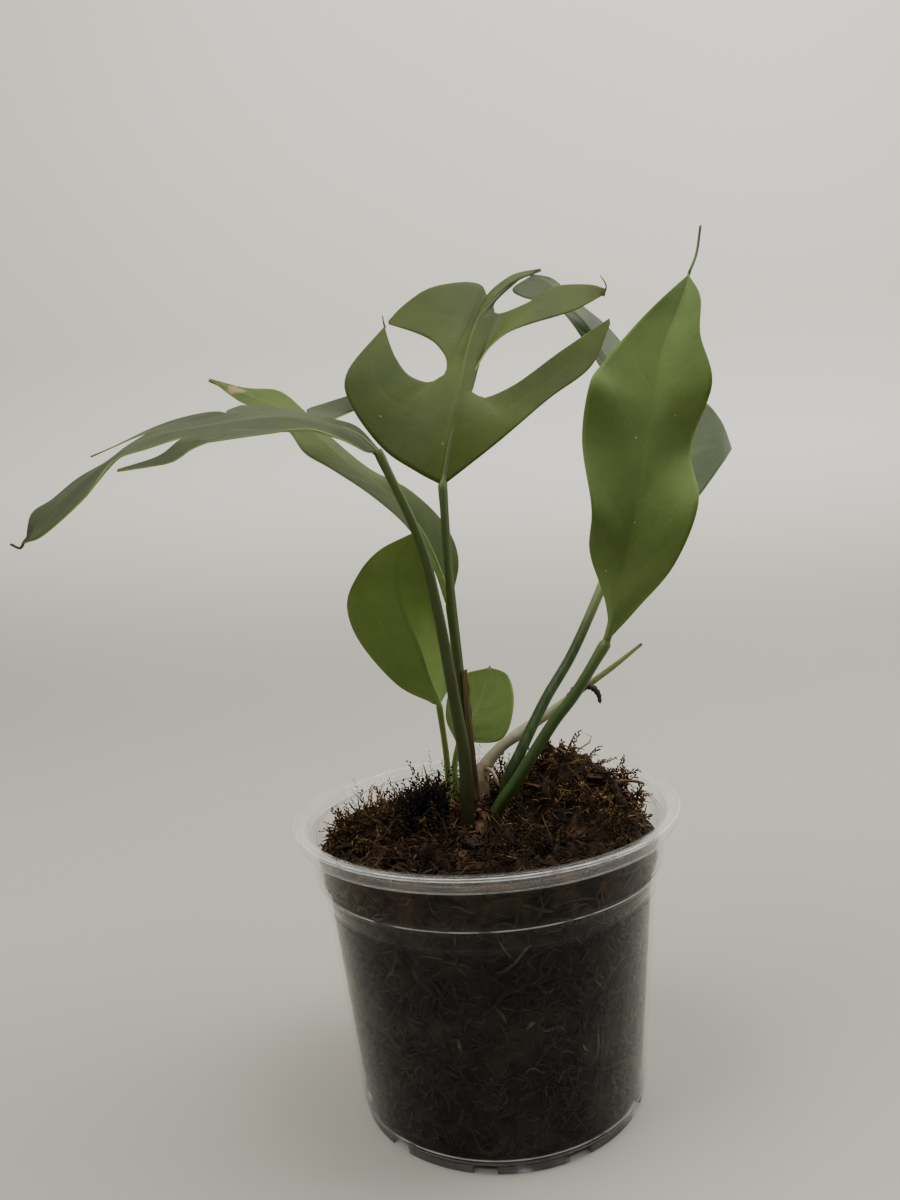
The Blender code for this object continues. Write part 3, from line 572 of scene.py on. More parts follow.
# %% Height of the soil
GAP = 0.3
SOIL_EDGE_Z, SOIL_FRONT_RISE = 79.5, 6.0
SOIL_FADE_R, SOIL_FADE = 52.5, 8.0
# Each heap's place across and back, height and spread
HEAPS = (
    (24, 4, 20, 13),
    (38, -8, 8, 13),
    (-37, -4, 8, 10),
    (-14, -8, 8, 14),
    (6, -30, 3, 14),
    (-4, 28, 6, 18),
)
CRUMBS = ((1.9, 11, 1), (1.2, 5, 2), (0.4, 2.4, 3))  # height, size and seed of each layer of ripples
rng = np.random.default_rng(11)


def ripples(points, size_mm, seed, count=14):
    """Sum of sine waves in random directions, with wavelengths round size_mm; between about -1 and 1."""
    draw = np.random.default_rng(seed)
    ways = draw.normal(size=(count, points.shape[-1]))
    ways *= 2 * math.pi / size_mm / np.linalg.norm(ways, axis=1, keepdims=True)
    ways *= draw.uniform(0.6, 1.6, (count, 1))
    return np.sin(points @ ways.T + draw.uniform(0, 2 * math.pi, count)).sum(axis=-1) / math.sqrt(count)


def soil_level(y):
    """The soil's height at the wall: level, and rising to the front."""
    return SOIL_EDGE_Z + SOIL_FRONT_RISE * np.maximum(0, -y / SOIL_FADE_R)


def soil_height(x, y):
    """The level, plus a bell-shaped heap for each entry of HEAPS and CRUMBS, all fading out at the wall."""
    x, y = np.asarray(x, float), np.asarray(y, float)
    fade = np.clip((SOIL_FADE_R - np.hypot(x, y)) / SOIL_FADE, 0, 1)
    heaps = np.zeros_like(x)
    for heap_x, heap_y, height, spread in HEAPS:
        heaps = heaps + height * np.exp(-((x - heap_x) ** 2 + (y - heap_y) ** 2) / (2 * spread**2))
    flat = np.stack([x, y], axis=-1)
    crumbs = sum(high * ripples(flat, size, seed) for high, size, seed in CRUMBS)
    return soil_level(y) + (heaps + crumbs) * fade


print(f"soil at the middle: {float(soil_height(0, 0)):.1f} mm")


# %% [markdown]
# Damp soil is nearly black where it is wet and brown where it dries, as under the rim. Pressed against the
# wall it has dents between its clods, so its side is pushed in where two sizes of ripple add up.

# %% The mass of soil
SOIL_RINGS, SOIL_AROUND, SOIL_ROWS = 100, 300, 110
SOIL_INSET = GAP + 0.15
DENT_RING_R = 45.0  # the radius on which the dents' ripples are read
SIDE_IN, DENT_DEPTH = 0.9, 0.8
SIDE_FADE_TOP, SIDE_FADE_LOW = 4.0, 3.0


def soil_side():
    """Rows of points up the wall's inside to the soil's edge: the radius is pushed in by small dents."""
    a = np.linspace(0, 2 * math.pi, SOIL_AROUND + 1)
    edge = soil_level(SOIL_FADE_R * np.sin(a))
    share = np.concatenate([[0], np.linspace(0, 1, SOIL_ROWS)])[:, None]
    z = (1 - share) * (FLOOR_T + GAP) + share * edge
    r = wall_inside(z) - SOIL_INSET
    ring = np.stack([DENT_RING_R * np.cos(a), DENT_RING_R * np.sin(a)], axis=-1)
    around = np.concatenate([np.broadcast_to(ring, (*z.shape, 2)), z[..., None]], axis=-1)
    dents = np.clip(ripples(around, 7, 4) + 0.7 * ripples(around, 3, 5), 0, 2)
    fade = np.clip((edge - z) / SIDE_FADE_TOP, 0, 1) * np.clip((z - FLOOR_T) / SIDE_FADE_LOW, 0, 1)
    r -= (SIDE_IN + DENT_DEPTH * dents) * fade
    r[0] = 0
    grid = np.stack([r * np.cos(a), r * np.sin(a), z], axis=-1)
    grid[:, -1] = grid[:, 0]
    return grid, np.zeros((*grid.shape[:2], 2))


def soil_top():
    """Rings from the wall to the middle, lifted to soil_height."""
    a = np.linspace(0, 2 * math.pi, SOIL_AROUND + 1)
    edge = wall_inside(soil_level(SOIL_FADE_R * np.sin(a))) - SOIL_INSET
    r = np.linspace(1, 0, SOIL_RINGS)[:, None] * edge
    x, y = r * np.cos(a), r * np.sin(a)
    z = soil_height(x, y)
    z[0] = soil_level(SOIL_FADE_R * np.sin(a))
    grid = np.stack([x, y, z], axis=-1)
    grid[:, -1] = grid[:, 0]
    grid[-1] = grid[-1, :1]
    return grid, np.zeros((*grid.shape[:2], 2))


def soil_paint():
    paint = Paint("damp soil")
    lumps = paint.noise(5, 6, 0.65)
    colour = paint.ramp(lumps, (
        (0.3, shade(8, 6, 5)), (0.5, shade(17, 12, 9)), (0.62, shade(36, 26, 18)), (0.78, shade(60, 44, 29)),
    ))
    chips = paint.step(paint.cells(4.5), 0.34, 0.2)
    colour = paint.mix(chips * 0.4, colour, shade(58, 42, 30))
    under = paint.step(paint.height(), 78, 70)
    clods = paint.step(paint.noise(13, 4, 0.65), 0.4, 0.62)
    patches = paint.mix(clods, shade(14, 11, 9), shade(42, 37, 29))
    colour = paint.mix(under * 0.8, colour, patches)
    band = paint.step(paint.height(), 68, 76) * paint.step(paint.noise(6, 4, 0.65), 0.35, 0.65)
    colour = paint.mix(band * 0.6, colour, shade(66, 50, 36))
    grain = paint.noise(1.3, 3, 0.6)
    relief = paint.bump(lumps + grain * 0.4, 0.9, 0.8)
    return paint.finish(colour, 0.7 + grain * 0.3, relief, Specular_IOR_Level=0.12)


soil = new_piece("soil_mass", new_mesh("soil_mass", *stacked([soil_side(), soil_top()])), soil_paint())
stands_for(soil, "soil")

# %% [markdown]
# Loose fibre is thousands of thin bent strands. Each is a three-sided tube of a few stations, and all of
# them are worked out together as one array: start, heading, bend and thickness are drawn once each.

# %% Many thin strands at once
STRAND_SIDES = 3
STRAND_WELD = 0.0005
SLOPE_STEP = 1.5


def strands(start, heading, normal, length, width, bend, stations=6, knots=0.0):
    """For each strand: start + length * (heading * s + sway + lift), two sine waves to the side and up.

    A triangle is carried along it, and its size falls to nothing at both ends with the root of a sine.
    """
    count = len(start)
    s = np.linspace(0, 1, stations)[None, :, None]
    side = np.cross(normal, heading)
    sway = bend[:, :1, None] * np.sin(math.pi * s * bend[:, 2:3, None]) * side[:, None]
    lift = bend[:, 1:2, None] * np.sin(math.pi * s) * normal[:, None]
    path = start[:, None] + length[:, None, None] * (s * heading[:, None] + sway + lift)
    tangent = np.gradient(path, axis=1)
    tangent /= np.linalg.norm(tangent, axis=2, keepdims=True)
    across = np.cross(tangent, normal[:, None] + 0.01)
    across /= np.linalg.norm(across, axis=2, keepdims=True)
    up = np.cross(across, tangent)
    taper = np.sin(math.pi * np.clip(s, 0.0, 1.0)) ** 0.5 * (1 + knots * np.cos(math.pi * stations * s))
    a = (2 * math.pi * np.arange(STRAND_SIDES + 1) / STRAND_SIDES)[:, None]
    ring = np.cos(a) * across[:, :, None] + np.sin(a) * up[:, :, None]
    grid = path[:, :, None] + (width[:, None, None] * taper)[..., None] * ring
    at = np.arange(count * stations * len(a)).reshape(count, stations, len(a))
    corners = [at[:, :-1, :-1], at[:, 1:, :-1], at[:, 1:, 1:], at[:, :-1, 1:]]
    plan = np.stack(np.broadcast_arrays(rng.random((count, 1, 1)), s * np.ones((1, 1, len(a)))), axis=-1)
    return grid.reshape(-1, 3), plan.reshape(-1, 2), np.stack(corners, axis=-1).reshape(-1, 4)


def unit(vectors):
    """Each vector divided by its length."""
    return vectors / np.maximum(np.linalg.norm(vectors, axis=-1, keepdims=True), 1e-9)


def on_top(count, reach=51.5):
    """Random places on the soil's top, with the surface's normal there from two small steps."""
    turn, r = rng.uniform(0, 2 * math.pi, count), reach * np.sqrt(rng.random(count))
    x, y = r * np.cos(turn), r * np.sin(turn)
    z = soil_height(x, y)
    slope_x, slope_y = soil_height(x + SLOPE_STEP, y) - z, soil_height(x, y + SLOPE_STEP) - z
    normal = unit(np.stack([-slope_x, -slope_y, np.full(count, 2 * SLOPE_STEP)], axis=1))
    return np.stack([x, y, z], axis=1), normal


print("sides of a strand:", STRAND_SIDES)

# %% [markdown]
# The top of the soil is dressed with dead moss, a mat of short brown fibre. Most of it lies on the slope
# and some stands up, so a strand's heading is first laid flat on the soil and then lifted a little.

# %% Moss fibre on the top
MOSS = 4200
MOSS_REACH = 52.5
MOSS_SUNK = 0.35


def moss():
    """Strands that lie on the slope with a little lift, some of them standing up."""
    start, normal = on_top(MOSS)
    heading = unit(rng.normal(size=(MOSS, 3)) * (1, 1, 0.35))
    heading = unit(heading - 0.9 * normal * np.sum(heading * normal, axis=1, keepdims=True))
    heading = unit(heading + normal * rng.gamma(1.2, 0.22, (MOSS, 1)))
    length = rng.gamma(5, 0.75, MOSS) + 1.5
    width = rng.uniform(0.13, 0.34, MOSS)
    sway, lift, waves = rng.normal(0, 0.16, MOSS), rng.uniform(0.0, 0.16, MOSS), rng.uniform(1, 2.4, MOSS)
    bend = np.stack([sway, lift, waves], axis=1)
    keep = np.hypot(*(start + heading * length[:, None])[:, :2].T) < MOSS_REACH
    parts = (start - MOSS_SUNK * normal, heading, normal, length, width, bend)
    return strands(*(part[keep] for part in parts), knots=0.25)


def moss_paint():
    paint = Paint("dead moss fibre")
    pick, along = paint.plan()
    colour = paint.ramp(pick, (
        (0.0, shade(34, 23, 13)), (0.35, shade(74, 52, 30)), (0.65, shade(110, 81, 49)),
        (0.88, shade(144, 113, 70)), (1.0, shade(176, 148, 98)),
    ))
    dark = paint.step(paint.noise(12, 3), 0.4, 0.62)
    colour = paint.mix((1 - dark) * 0.7, colour, shade(14, 10, 7))
    # Painted shade: the moss is darker towards the front of the pot
    front = paint.step(paint.depth(), 0, -32)
    colour = paint.mix(front * 0.75, colour, shade(18, 12, 7))
    olive = paint.step(paint.noise(17, 2), 0.55, 0.7)
    colour = paint.mix(olive * 0.4, colour, shade(74, 66, 36))
    return paint.finish(colour, 0.72 + along * 0.15, Specular_IOR_Level=0.12)


moss_top = new_piece("moss_fibre", new_mesh("moss_fibre", *moss(), weld=STRAND_WELD), moss_paint())
stands_for(moss_top, "soil")

# %% [markdown]
# What makes moss look like moss is its shoots: a bent stem with leaflets all round it, each turned a
# golden angle from the last. A shoot is placed once as an array of leaflet starts and directions, and the
# strand function above turns them all into mesh. Fresh shoots stand up on the heaps.

# %% Shoots of moss
LEAFLETS = 20
GOLDEN_ANGLE = 2.4
LEAFLET_STATIONS = 4
LEAFLET_WIDTH = 0.12  # of its length, and a stem's width too


def shoots(foot, heading, length, leaflet):
    """Leaflet j sits at foot + length * (s * heading + curve * s^2 * aside), at turn j * golden angle.

    It points ahead along the stem and outwards, less and less outwards as s goes from foot to tip.
    """
    count = len(foot)
    s = np.linspace(0.08, 1, LEAFLETS)[None, :, None]
    aside = unit(np.cross(heading, rng.normal(size=(count, 3))))
    also = np.cross(heading, aside)
    curve = rng.normal(0, 0.28, (count, 1, 1))
    place = foot[:, None] + length[:, None, None] * (s * heading[:, None] + curve * s**2 * aside[:, None])
    turn = GOLDEN_ANGLE * np.arange(LEAFLETS)[None, :, None] + rng.uniform(0, 6, (count, 1, 1))
    out = np.cos(turn) * aside[:, None] + np.sin(turn) * also[:, None]
    ahead = unit(heading[:, None] + 2 * curve * s * aside[:, None])
    way = unit(0.75 * ahead + out * (1.15 - 0.6 * s))
    size = leaflet[:, None] * (1.05 - 0.55 * s[..., 0]) * rng.uniform(0.7, 1.2, (count, LEAFLETS))
    flat = count * LEAFLETS
    bend = np.stack([np.zeros(flat), rng.uniform(0.0, 0.25, flat), np.ones(flat)], axis=1)
    width = np.repeat(leaflet * LEAFLET_WIDTH, LEAFLETS)
    leaflets = strands(
        place.reshape(-1, 3), way.reshape(-1, 3), unit(np.cross(way, out + 0.01)).reshape(-1, 3),
        size.ravel(), width, bend, stations=LEAFLET_STATIONS,
    )
    stem_bend = np.stack([curve[:, 0, 0] * 0.5, np.zeros(count), np.ones(count)], axis=1)
    stems = strands(foot, heading, aside, length, leaflet * LEAFLET_WIDTH, stem_bend)
    points, plan, quads = (list(pair) for pair in zip(leaflets, stems))
    return np.vstack(points), np.vstack(plan), np.vstack([quads[0], quads[1] + len(points[0])])


SHOOTS = 500
SHOOT_SUNK, SHOOT_REACH = 0.5, 52.0
# Shoots that stand out on their own: place on the soil, way up, length
SINGLE_SHOOTS = np.array((
    (-34, -6, -0.15, 0, 1, 10), (-31, -9, 0.5, -0.2, 1, 7), (22, 6, -0.3, 0, 1, 9),
    (27, 3, 0.35, -0.1, 1, 10), (31, 4, 0.7, 0, 0.8, 9), (-3, 8, -0.6, 0, 0.8, 10),
    (-6, 16, 0.2, 0, 1, 9), (16, 12, -0.4, 0, 1, 9), (40, -6, 0.5, -0.3, 0.7, 8),
    (12, -2, 0.1, -0.4, 0.9, 9), (19, -6, -0.5, -0.3, 0.8, 10),
))


def fresh_shoots():
    """Shoots all over the top, heading part along the slope's normal and part by chance, and single ones."""
    foot, upward = on_top(SHOOTS, 50)
    heading = upward * rng.uniform(0.1, 1.0, (SHOOTS, 1)) + rng.normal(0, 0.6, (SHOOTS, 3))
    heading[:, 2] = np.abs(heading[:, 2])
    length = rng.gamma(6, 0.85, SHOOTS) + 2.5
    single = np.column_stack([SINGLE_SHOOTS[:, :2], soil_height(*SINGLE_SHOOTS[:, :2].T)])
    foot = np.vstack([foot - SHOOT_SUNK * upward, single - (0, 0, SHOOT_SUNK)])
    heading = unit(np.vstack([heading, SINGLE_SHOOTS[:, 2:5]]))
    length = np.concatenate([length, SINGLE_SHOOTS[:, 5]])
    keep = np.hypot(*(foot + heading * length[:, None])[:, :2].T) < SHOOT_REACH
    return shoots(foot[keep], heading[keep], length[keep], rng.uniform(1.4, 2.9, keep.sum()))


shoots_mesh = new_mesh("moss_shoots", *fresh_shoots(), weld=STRAND_WELD)
stands_for(new_piece("moss_shoots", shoots_mesh, moss_paint()), "soil")

# %% [markdown]
# In front of the low leaf's stalk one clump of moss has rotted black. It is made of the same shoots, from a
# small disc, with their own wet and nearly black finish.

# %% The rotted clump
CLUMP_AT, CLUMP_SIZE, CLUMP_SHOOTS = np.array((-17.5, -12.5)), 3.4, 60
CLUMP_LEAN = 0.09
CLUMP_FALL = 90.0  # how soon the shoots get shorter away from the middle


def clump():
    """Shoots from a small disc at CLUMP_AT, all leaning up and a little away from its middle."""
    away = rng.normal(0, 0.5, (CLUMP_SHOOTS, 2)) * CLUMP_SIZE
    flat = CLUMP_AT + away
    foot = np.column_stack([flat, soil_height(*flat.T) - SHOOT_SUNK])
    upward = np.column_stack([away * CLUMP_LEAN, np.full(CLUMP_SHOOTS, 0.8)])
    heading = unit(upward + rng.normal(0, 0.25, (CLUMP_SHOOTS, 3)))
    length = rng.uniform(6, 17, CLUMP_SHOOTS) * np.exp(-np.sum(away**2, axis=1) / CLUMP_FALL)
    return shoots(foot, heading, length, rng.uniform(1.9, 3.2, CLUMP_SHOOTS))


def rotted_paint():
    paint = Paint("rotted moss")
    pick, along = paint.plan()
    colour = paint.mix(pick, shade(6, 5, 5), shade(20, 17, 14))
    return paint.finish(colour, 0.5 + along * 0.25, Specular_IOR_Level=0.2)


clump_mesh = new_mesh("rotted_moss_clump", *clump(), weld=STRAND_WELD)
stands_for(new_piece("rotted_moss_clump", clump_mesh, rotted_paint()), "soil")

# %% [markdown]
# Behind the clear wall the filling shows as strands and flakes pressed flat against the plastic. They run
# along the wall, so their path is worked out on the unrolled wall and then wrapped round the pot.

# %% Strands against the wall
WALL_STRANDS = 4200
OFF_WALL = 0.15


def wall_strands():
    """Start and heading on the wall: round, up and outward directions at a random height and turn."""
    share = rng.random(WALL_STRANDS)
    a = rng.uniform(0, 2 * math.pi, WALL_STRANDS)
    z = 3 + share * (soil_level(SOIL_FADE_R * np.sin(a)) - 4)
    out = np.stack([np.cos(a), np.sin(a), np.zeros_like(a)], axis=1)
    around = np.stack([-np.sin(a), np.cos(a), np.zeros_like(a)], axis=1)
    lean = rng.uniform(0, 2 * math.pi, WALL_STRANDS)[:, None]
    length = rng.gamma(4, 1.3, WALL_STRANDS) + 1.5
    width = 0.14 + 0.55 * rng.random(WALL_STRANDS) ** 2
    slope = np.where(z > SHOULDER_Z, 0.0, (SHOULDER_R - BASE_RING_R) / (SHOULDER_Z - BASE_RING_Z))[:, None]
    heading = unit(np.cos(lean) * around + np.sin(lean) * (np.array((0, 0, 1.0)) + slope * out))
    heading = unit(heading - out * np.cos(lean) ** 2 * (length / (2 * wall_inside(z)))[:, None])
    r = wall_inside(z) - GAP - width - OFF_WALL
    start = out * r[:, None] + np.stack([np.zeros_like(z), np.zeros_like(z), z], axis=1)
    sway, waves = rng.normal(0, 0.13, WALL_STRANDS), rng.uniform(1, 2, WALL_STRANDS)
    bend = np.stack([sway, np.zeros_like(z), waves], axis=1)
    end = start + heading * length[:, None]
    reach = np.hypot(end[:, 0], end[:, 1])
    in_pot = (end[:, 2] > 2.5) & (end[:, 2] < soil_level(end[:, 1]) - 0.8)
    keep = (reach < wall_inside(end[:, 2]) - GAP - width) & in_pot
    parts = (start, heading, out, length, width, bend)
    return strands(*(part[keep] for part in parts), knots=0.15)


def wall_strand_paint():
    paint = Paint("wet fibre behind the wall")
    pick, along = paint.plan()
    colour = paint.ramp(pick, (
        (0.0, shade(8, 7, 5)), (0.5, shade(18, 15, 11)), (0.75, shade(38, 31, 22)),
        (0.96, shade(52, 43, 30)), (1.0, shade(104, 92, 70)),
    ))
    red = paint.step(paint.noise(22, 2), 0.52, 0.68)
    colour = paint.mix(red * 0.35, colour, shade(64, 34, 20))
    band = paint.step(paint.height(), 68, 76)
    colour = paint.mix(band * (pick * 0.35 + 0.2), colour, shade(78, 62, 44))
    wet = paint.step(paint.noise(13, 4, 0.65), 0.58, 0.42) * (1 - band)
    colour = paint.mix(wet * 0.6, colour, shade(14, 11, 9))
    return paint.finish(colour, 0.5 + along * 0.2, Specular_IOR_Level=0.15)


fibre_mesh = new_mesh("fibre_behind_wall", *wall_strands(), weld=STRAND_WELD)
stands_for(new_piece("fibre_behind_wall", fibre_mesh, wall_strand_paint()), "soil")

# %% [markdown]
# Bark lies on the soil as flat flakes with rough outlines. A flake is a squashed ball with an outline that
# wanders, and every flake is made in the same array.

# %% Bark flakes
FLAKES = 190
FLAKE_RINGS, FLAKE_TURNS = 6, 11
FLAKE_WAVES = ((2, 0.22), (5, 0.16))  # how many waves go round the outline, and how high they are


def flakes():
    """Rings of a squashed ball: long, wide and thick axes for each flake, outline radius 1 + noise(turn)."""
    place, normal = on_top(FLAKES, 49)
    long_way = unit(np.cross(normal, rng.normal(size=(FLAKES, 3))))
    tilt = rng.normal(0, 0.35, (FLAKES, 1))
    long_way = unit(long_way + normal * tilt)
    wide_way = unit(np.cross(normal, long_way))
    thick_way = np.cross(long_way, wide_way)
    long_half, wide_half = rng.gamma(6, 0.45, FLAKES) + 0.8, rng.gamma(5, 0.25, FLAKES) + 0.5
    size = np.stack([long_half, wide_half, rng.uniform(0.3, 0.8, FLAKES)], axis=1)
    polar = np.linspace(0, math.pi, FLAKE_RINGS)[None, :, None]
    turn = np.linspace(0, 2 * math.pi, FLAKE_TURNS)[None, None, :]
    waves = [
        high * np.sin(count * turn + rng.uniform(0, 6, (FLAKES, 1, 1))) for count, high in FLAKE_WAVES
    ]
    outline = 1 + waves[0] + waves[1]
    x = size[:, 0, None, None] * np.sin(polar) * np.cos(turn) * outline
    y = size[:, 1, None, None] * np.sin(polar) * np.sin(turn) * outline
    z = size[:, 2, None, None] * np.cos(polar) * np.ones_like(turn)
    axes = (long_way, wide_way, thick_way)
    grid = place[:, None, None] + sum(c[..., None] * axis[:, None, None] for c, axis in zip((x, y, z), axes))
    at = np.arange(FLAKES * FLAKE_RINGS * FLAKE_TURNS).reshape(FLAKES, FLAKE_RINGS, FLAKE_TURNS)
    corners = [at[:, :-1, :-1], at[:, 1:, :-1], at[:, 1:, 1:], at[:, :-1, 1:]]
    share = polar / math.pi * np.ones_like(turn)
    plan = np.stack(np.broadcast_arrays(rng.random((FLAKES, 1, 1)), share), axis=-1)
    return grid.reshape(-1, 3), plan.reshape(-1, 2), np.stack(corners, axis=-1).reshape(-1, 4)


def bark_paint():
    paint = Paint("bark flake")
    pick, along = paint.plan()
    colour = paint.ramp(pick, (
        (0.0, shade(18, 12, 10)), (0.45, shade(46, 30, 22)),
        (0.8, shade(84, 58, 42)), (1.0, shade(116, 88, 66)),
    ))
    grain = paint.noise(0.9, 5, 0.7, (1, 0.3, 1))
    colour = paint.mix(paint.step(grain, 0.4, 0.65) * 0.5, colour, shade(26, 17, 13))
    relief = paint.bump(grain, 0.3, 0.7)
    return paint.finish(colour, 0.65 + along * 0.2, relief, Specular_IOR_Level=0.15)


flakes_mesh = new_mesh("bark_flakes", *flakes(), weld=STRAND_WELD)
stands_for(new_piece("bark_flakes", flakes_mesh, bark_paint()), "soil")

# %% [markdown]
# Two larger things lie on the heap at the right: a pointed chip of bark and a knobbed twig. Both are thin
# and long, so a flattened round profile is carried along each, and fine ripples make it knobbly.

# %% A pointed chip and a knobbed twig
CHIP = ((29.5, -4, 97.5), (34, -5, 99), (39, -6, 100.5))
TWIG = ((39, -9, 97.5), (42, -9.5, 98.5), (46, -9, 98), (48.5, -8.5, 97))
CHIP_RADII, CHIP_FLAT = (0.4, 1.5, 1.9, 1.4, 0.2), 0.28
TWIG_RADII, TWIG_FLAT = (1.1, 1.3, 0.6, 0.5, 0.45, 0.3), 0.85


def lying(points, radii, flatness):
    """A profile flattened by flatness, carried along the points; its radius runs through radii."""
    path = curve_through(points, 12)
    size = np.interp(np.linspace(0, 1, len(path)), np.linspace(0, 1, len(radii)), radii)
    size *= 1 + 0.08 * ripples(path, 3, 9)
    return carried(path, size, round_profile(16) * (1, flatness))


loose = [lying(CHIP, CHIP_RADII, CHIP_FLAT), lying(TWIG, TWIG_RADII, TWIG_FLAT)]
loose_mesh = new_mesh("chip_and_twig", *stacked(loose))
stands_for(new_piece("chip_and_twig", loose_mesh, bark_paint()), "soil")

# %% [markdown]
# A blade is a set of panels between the midrib and the margin. An unbroken stretch is a straight loft from
# one to the other. A lobe is a loft between its lower and upper edge; neighbouring lobes share a seam that
# runs from the midrib to the bottom of the cut between them, so the sheet has no gaps inside the leaf.

# %% Panels of a blade
SEAM_STEPS = 12
LOBE_STEPS = 24
PER_SPAN = 10
SEAM_EASE = 2.5


def lobe_panel(midrib, low, high, seam_low, seam_high):
    """(1 - v) * lower edge + v * upper edge; near the midrib the curve of the midrib is added back."""
    edges = []
    for start, edge, seam in ((midrib[0], low, seam_low), (midrib[-1], high, seam_high)):
        if seam:
            edges.append(np.vstack([evenly([start, edge[0]], SEAM_STEPS), evenly(edge, LOBE_STEPS)[1:]]))
        else:
            edges.append(evenly([start, *edge], SEAM_STEPS + LOBE_STEPS))
    v = np.linspace(0, 1, len(midrib))[None, :, None]
    grid = (1 - v) * edges[0][:, None] + v * edges[1][:, None]
    a = np.linspace(0, 1, SEAM_STEPS + LOBE_STEPS + 1)[:, None, None]
    return grid + np.clip(1 - SEAM_EASE * a, 0, 1) * (midrib[None] - grid[:1])


def margin_panel(midrib, margin):
    """(1 - a) * midrib + a * margin."""
    a = np.linspace(0, 1, SEAM_STEPS + 1)[:, None, None]
    return (1 - a) * midrib[None] + a * evenly(margin, len(midrib) - 1)[None]


print("grid rows across a lobe:", SEAM_STEPS + LOBE_STEPS + 1)


# %% [markdown]
# The blade bulges a little between its side veins. The vein coordinate c counts them: a vein lies where
# its fraction is one half. The sheet is pushed along its normal by
# -relief * sin(pi a) * (1 - cos(2 pi c)) / 2, which is nothing at the midrib, at the margin and at the
# seams, so that the panels still meet.

# %% Vein relief
RELIEF = 0.13
VEIN_LEAN = 1.1  # how far a side vein runs forward from midrib to margin, counted in veins


def under(leaf):
    """The way that the leaf's underside looks: straight down unless its entry says otherwise."""
    return np.asarray(leaf.get("underside", (0, 0, -1)), float)


def grid_normal(grid):
    """Unit cross product of the grid's two directions of travel."""
    return unit(np.cross(np.gradient(grid, axis=0), np.gradient(grid, axis=1)))


def veined(grid, span, lobe, leaf):
    """The panel with its vein relief, and its plan (a, c)."""
    rows, columns = grid.shape[:2]
    a = np.linspace(0, 1, rows)[:, None] * np.ones(columns)
    v = np.linspace(0, 1, columns)[None, :] * np.ones((rows, 1))
    first, last = span
    if lobe:
        c = first + v
        window = 1.0
    else:
        c = (first + v * (last - first)) * leaf.get("veins", 1.0) - VEIN_LEAN * a + 0.5
        window = np.clip(8 * v * (1 - v), 0, 1)
    normal = grid_normal(grid)
    normal *= np.sign(np.sum(normal @ -under(leaf)))
    dip = np.sin(math.pi * a) * (1 - np.cos(2 * math.pi * c)) / 2 * window
    return grid - RELIEF * dip[..., None] * normal, np.stack([a, c], axis=-1)


def blade_sheets(leaf):
    """One veined grid for each panel, on the stretch of the midrib that its span names."""
    midrib = curve_through(leaf["midrib"], PER_SPAN)
    sheets = []
    for panel in leaf["panels"]:
        first, last = panel["span"]
        rib = midrib[first * PER_SPAN : last * PER_SPAN + 1]
        if "margin" in panel:
            grid = margin_panel(rib, panel["margin"])
        else:
            grid = lobe_panel(rib, panel["low"], panel["high"], first > 0, True)
        sheets.append(veined(grid, panel["span"], "margin" not in panel, leaf))
    return sheets


print(f"the blade bulges {RELIEF} mm between its veins")


# %% [markdown]
# A leaf blade has a glossy upper face and a duller, paler lower one. The sheet gets its thickness from
# Solidify, which can give the second face its own material. For that the first face must be the upper
# one, so the whole sheet is turned over if its faces look towards the underside on average.

# %% Blade with an upper and a lower face
BLADE_T = 0.42
BLADE_WELD = 0.03


def blade(name, leaf, upper, lower):
    """The welded panels, turned so that their mean normal looks up, with BLADE_T of thickness."""
    mesh = new_mesh(name, *stacked(blade_sheets(leaf)), weld=BLADE_WELD)
    normals = np.empty(len(mesh.polygons) * 3)
    areas = np.empty(len(mesh.polygons))
    mesh.polygons.foreach_get("normal", normals)
    mesh.polygons.foreach_get("area", areas)
    mean = areas @ normals.reshape(-1, 3)
    if mean @ under(leaf) > 0:
        mesh.flip_normals()
    piece = new_piece(name, mesh, upper, lower)
    thick = piece.modifiers.new("Thickness", "SOLIDIFY")
    thick.thickness = BLADE_T * MM
    thick.offset = 0
    thick.material_offset = 1
    thick.material_offset_rim = 1
    return applied(piece)


print(f"blade thickness: {BLADE_T} mm")


# %% [markdown]
# The stalk of a leaf is round with a shallow groove along its upper side, and swells a little where it
# meets the blade. From there it goes on under the blade as the midrib and thins out to the tip.

# %% Stalk and midrib in one tube
STALK_SIDES = 28
GROOVE, GROOVE_WIDTH = 0.16, 0.5
SWELL, SWELL_REACH = 0.16, 5.0
RIB_SINK = 0.75  # how far the midrib lies below the middle of the sheet
RIB_MIDDLE_R, RIB_TIP_R = 0.7, 0.36


def stalk_profile():
    """Unit circle whose radius dips by GROOVE round the upper side."""
    turn = np.linspace(0, 2 * math.pi, STALK_SIDES + 1)
    r = 1 - GROOVE * np.exp(-(((turn - math.pi / 2) / GROOVE_WIDTH) ** 2))
    return np.stack([r * np.cos(turn), r * np.sin(turn)], axis=1)


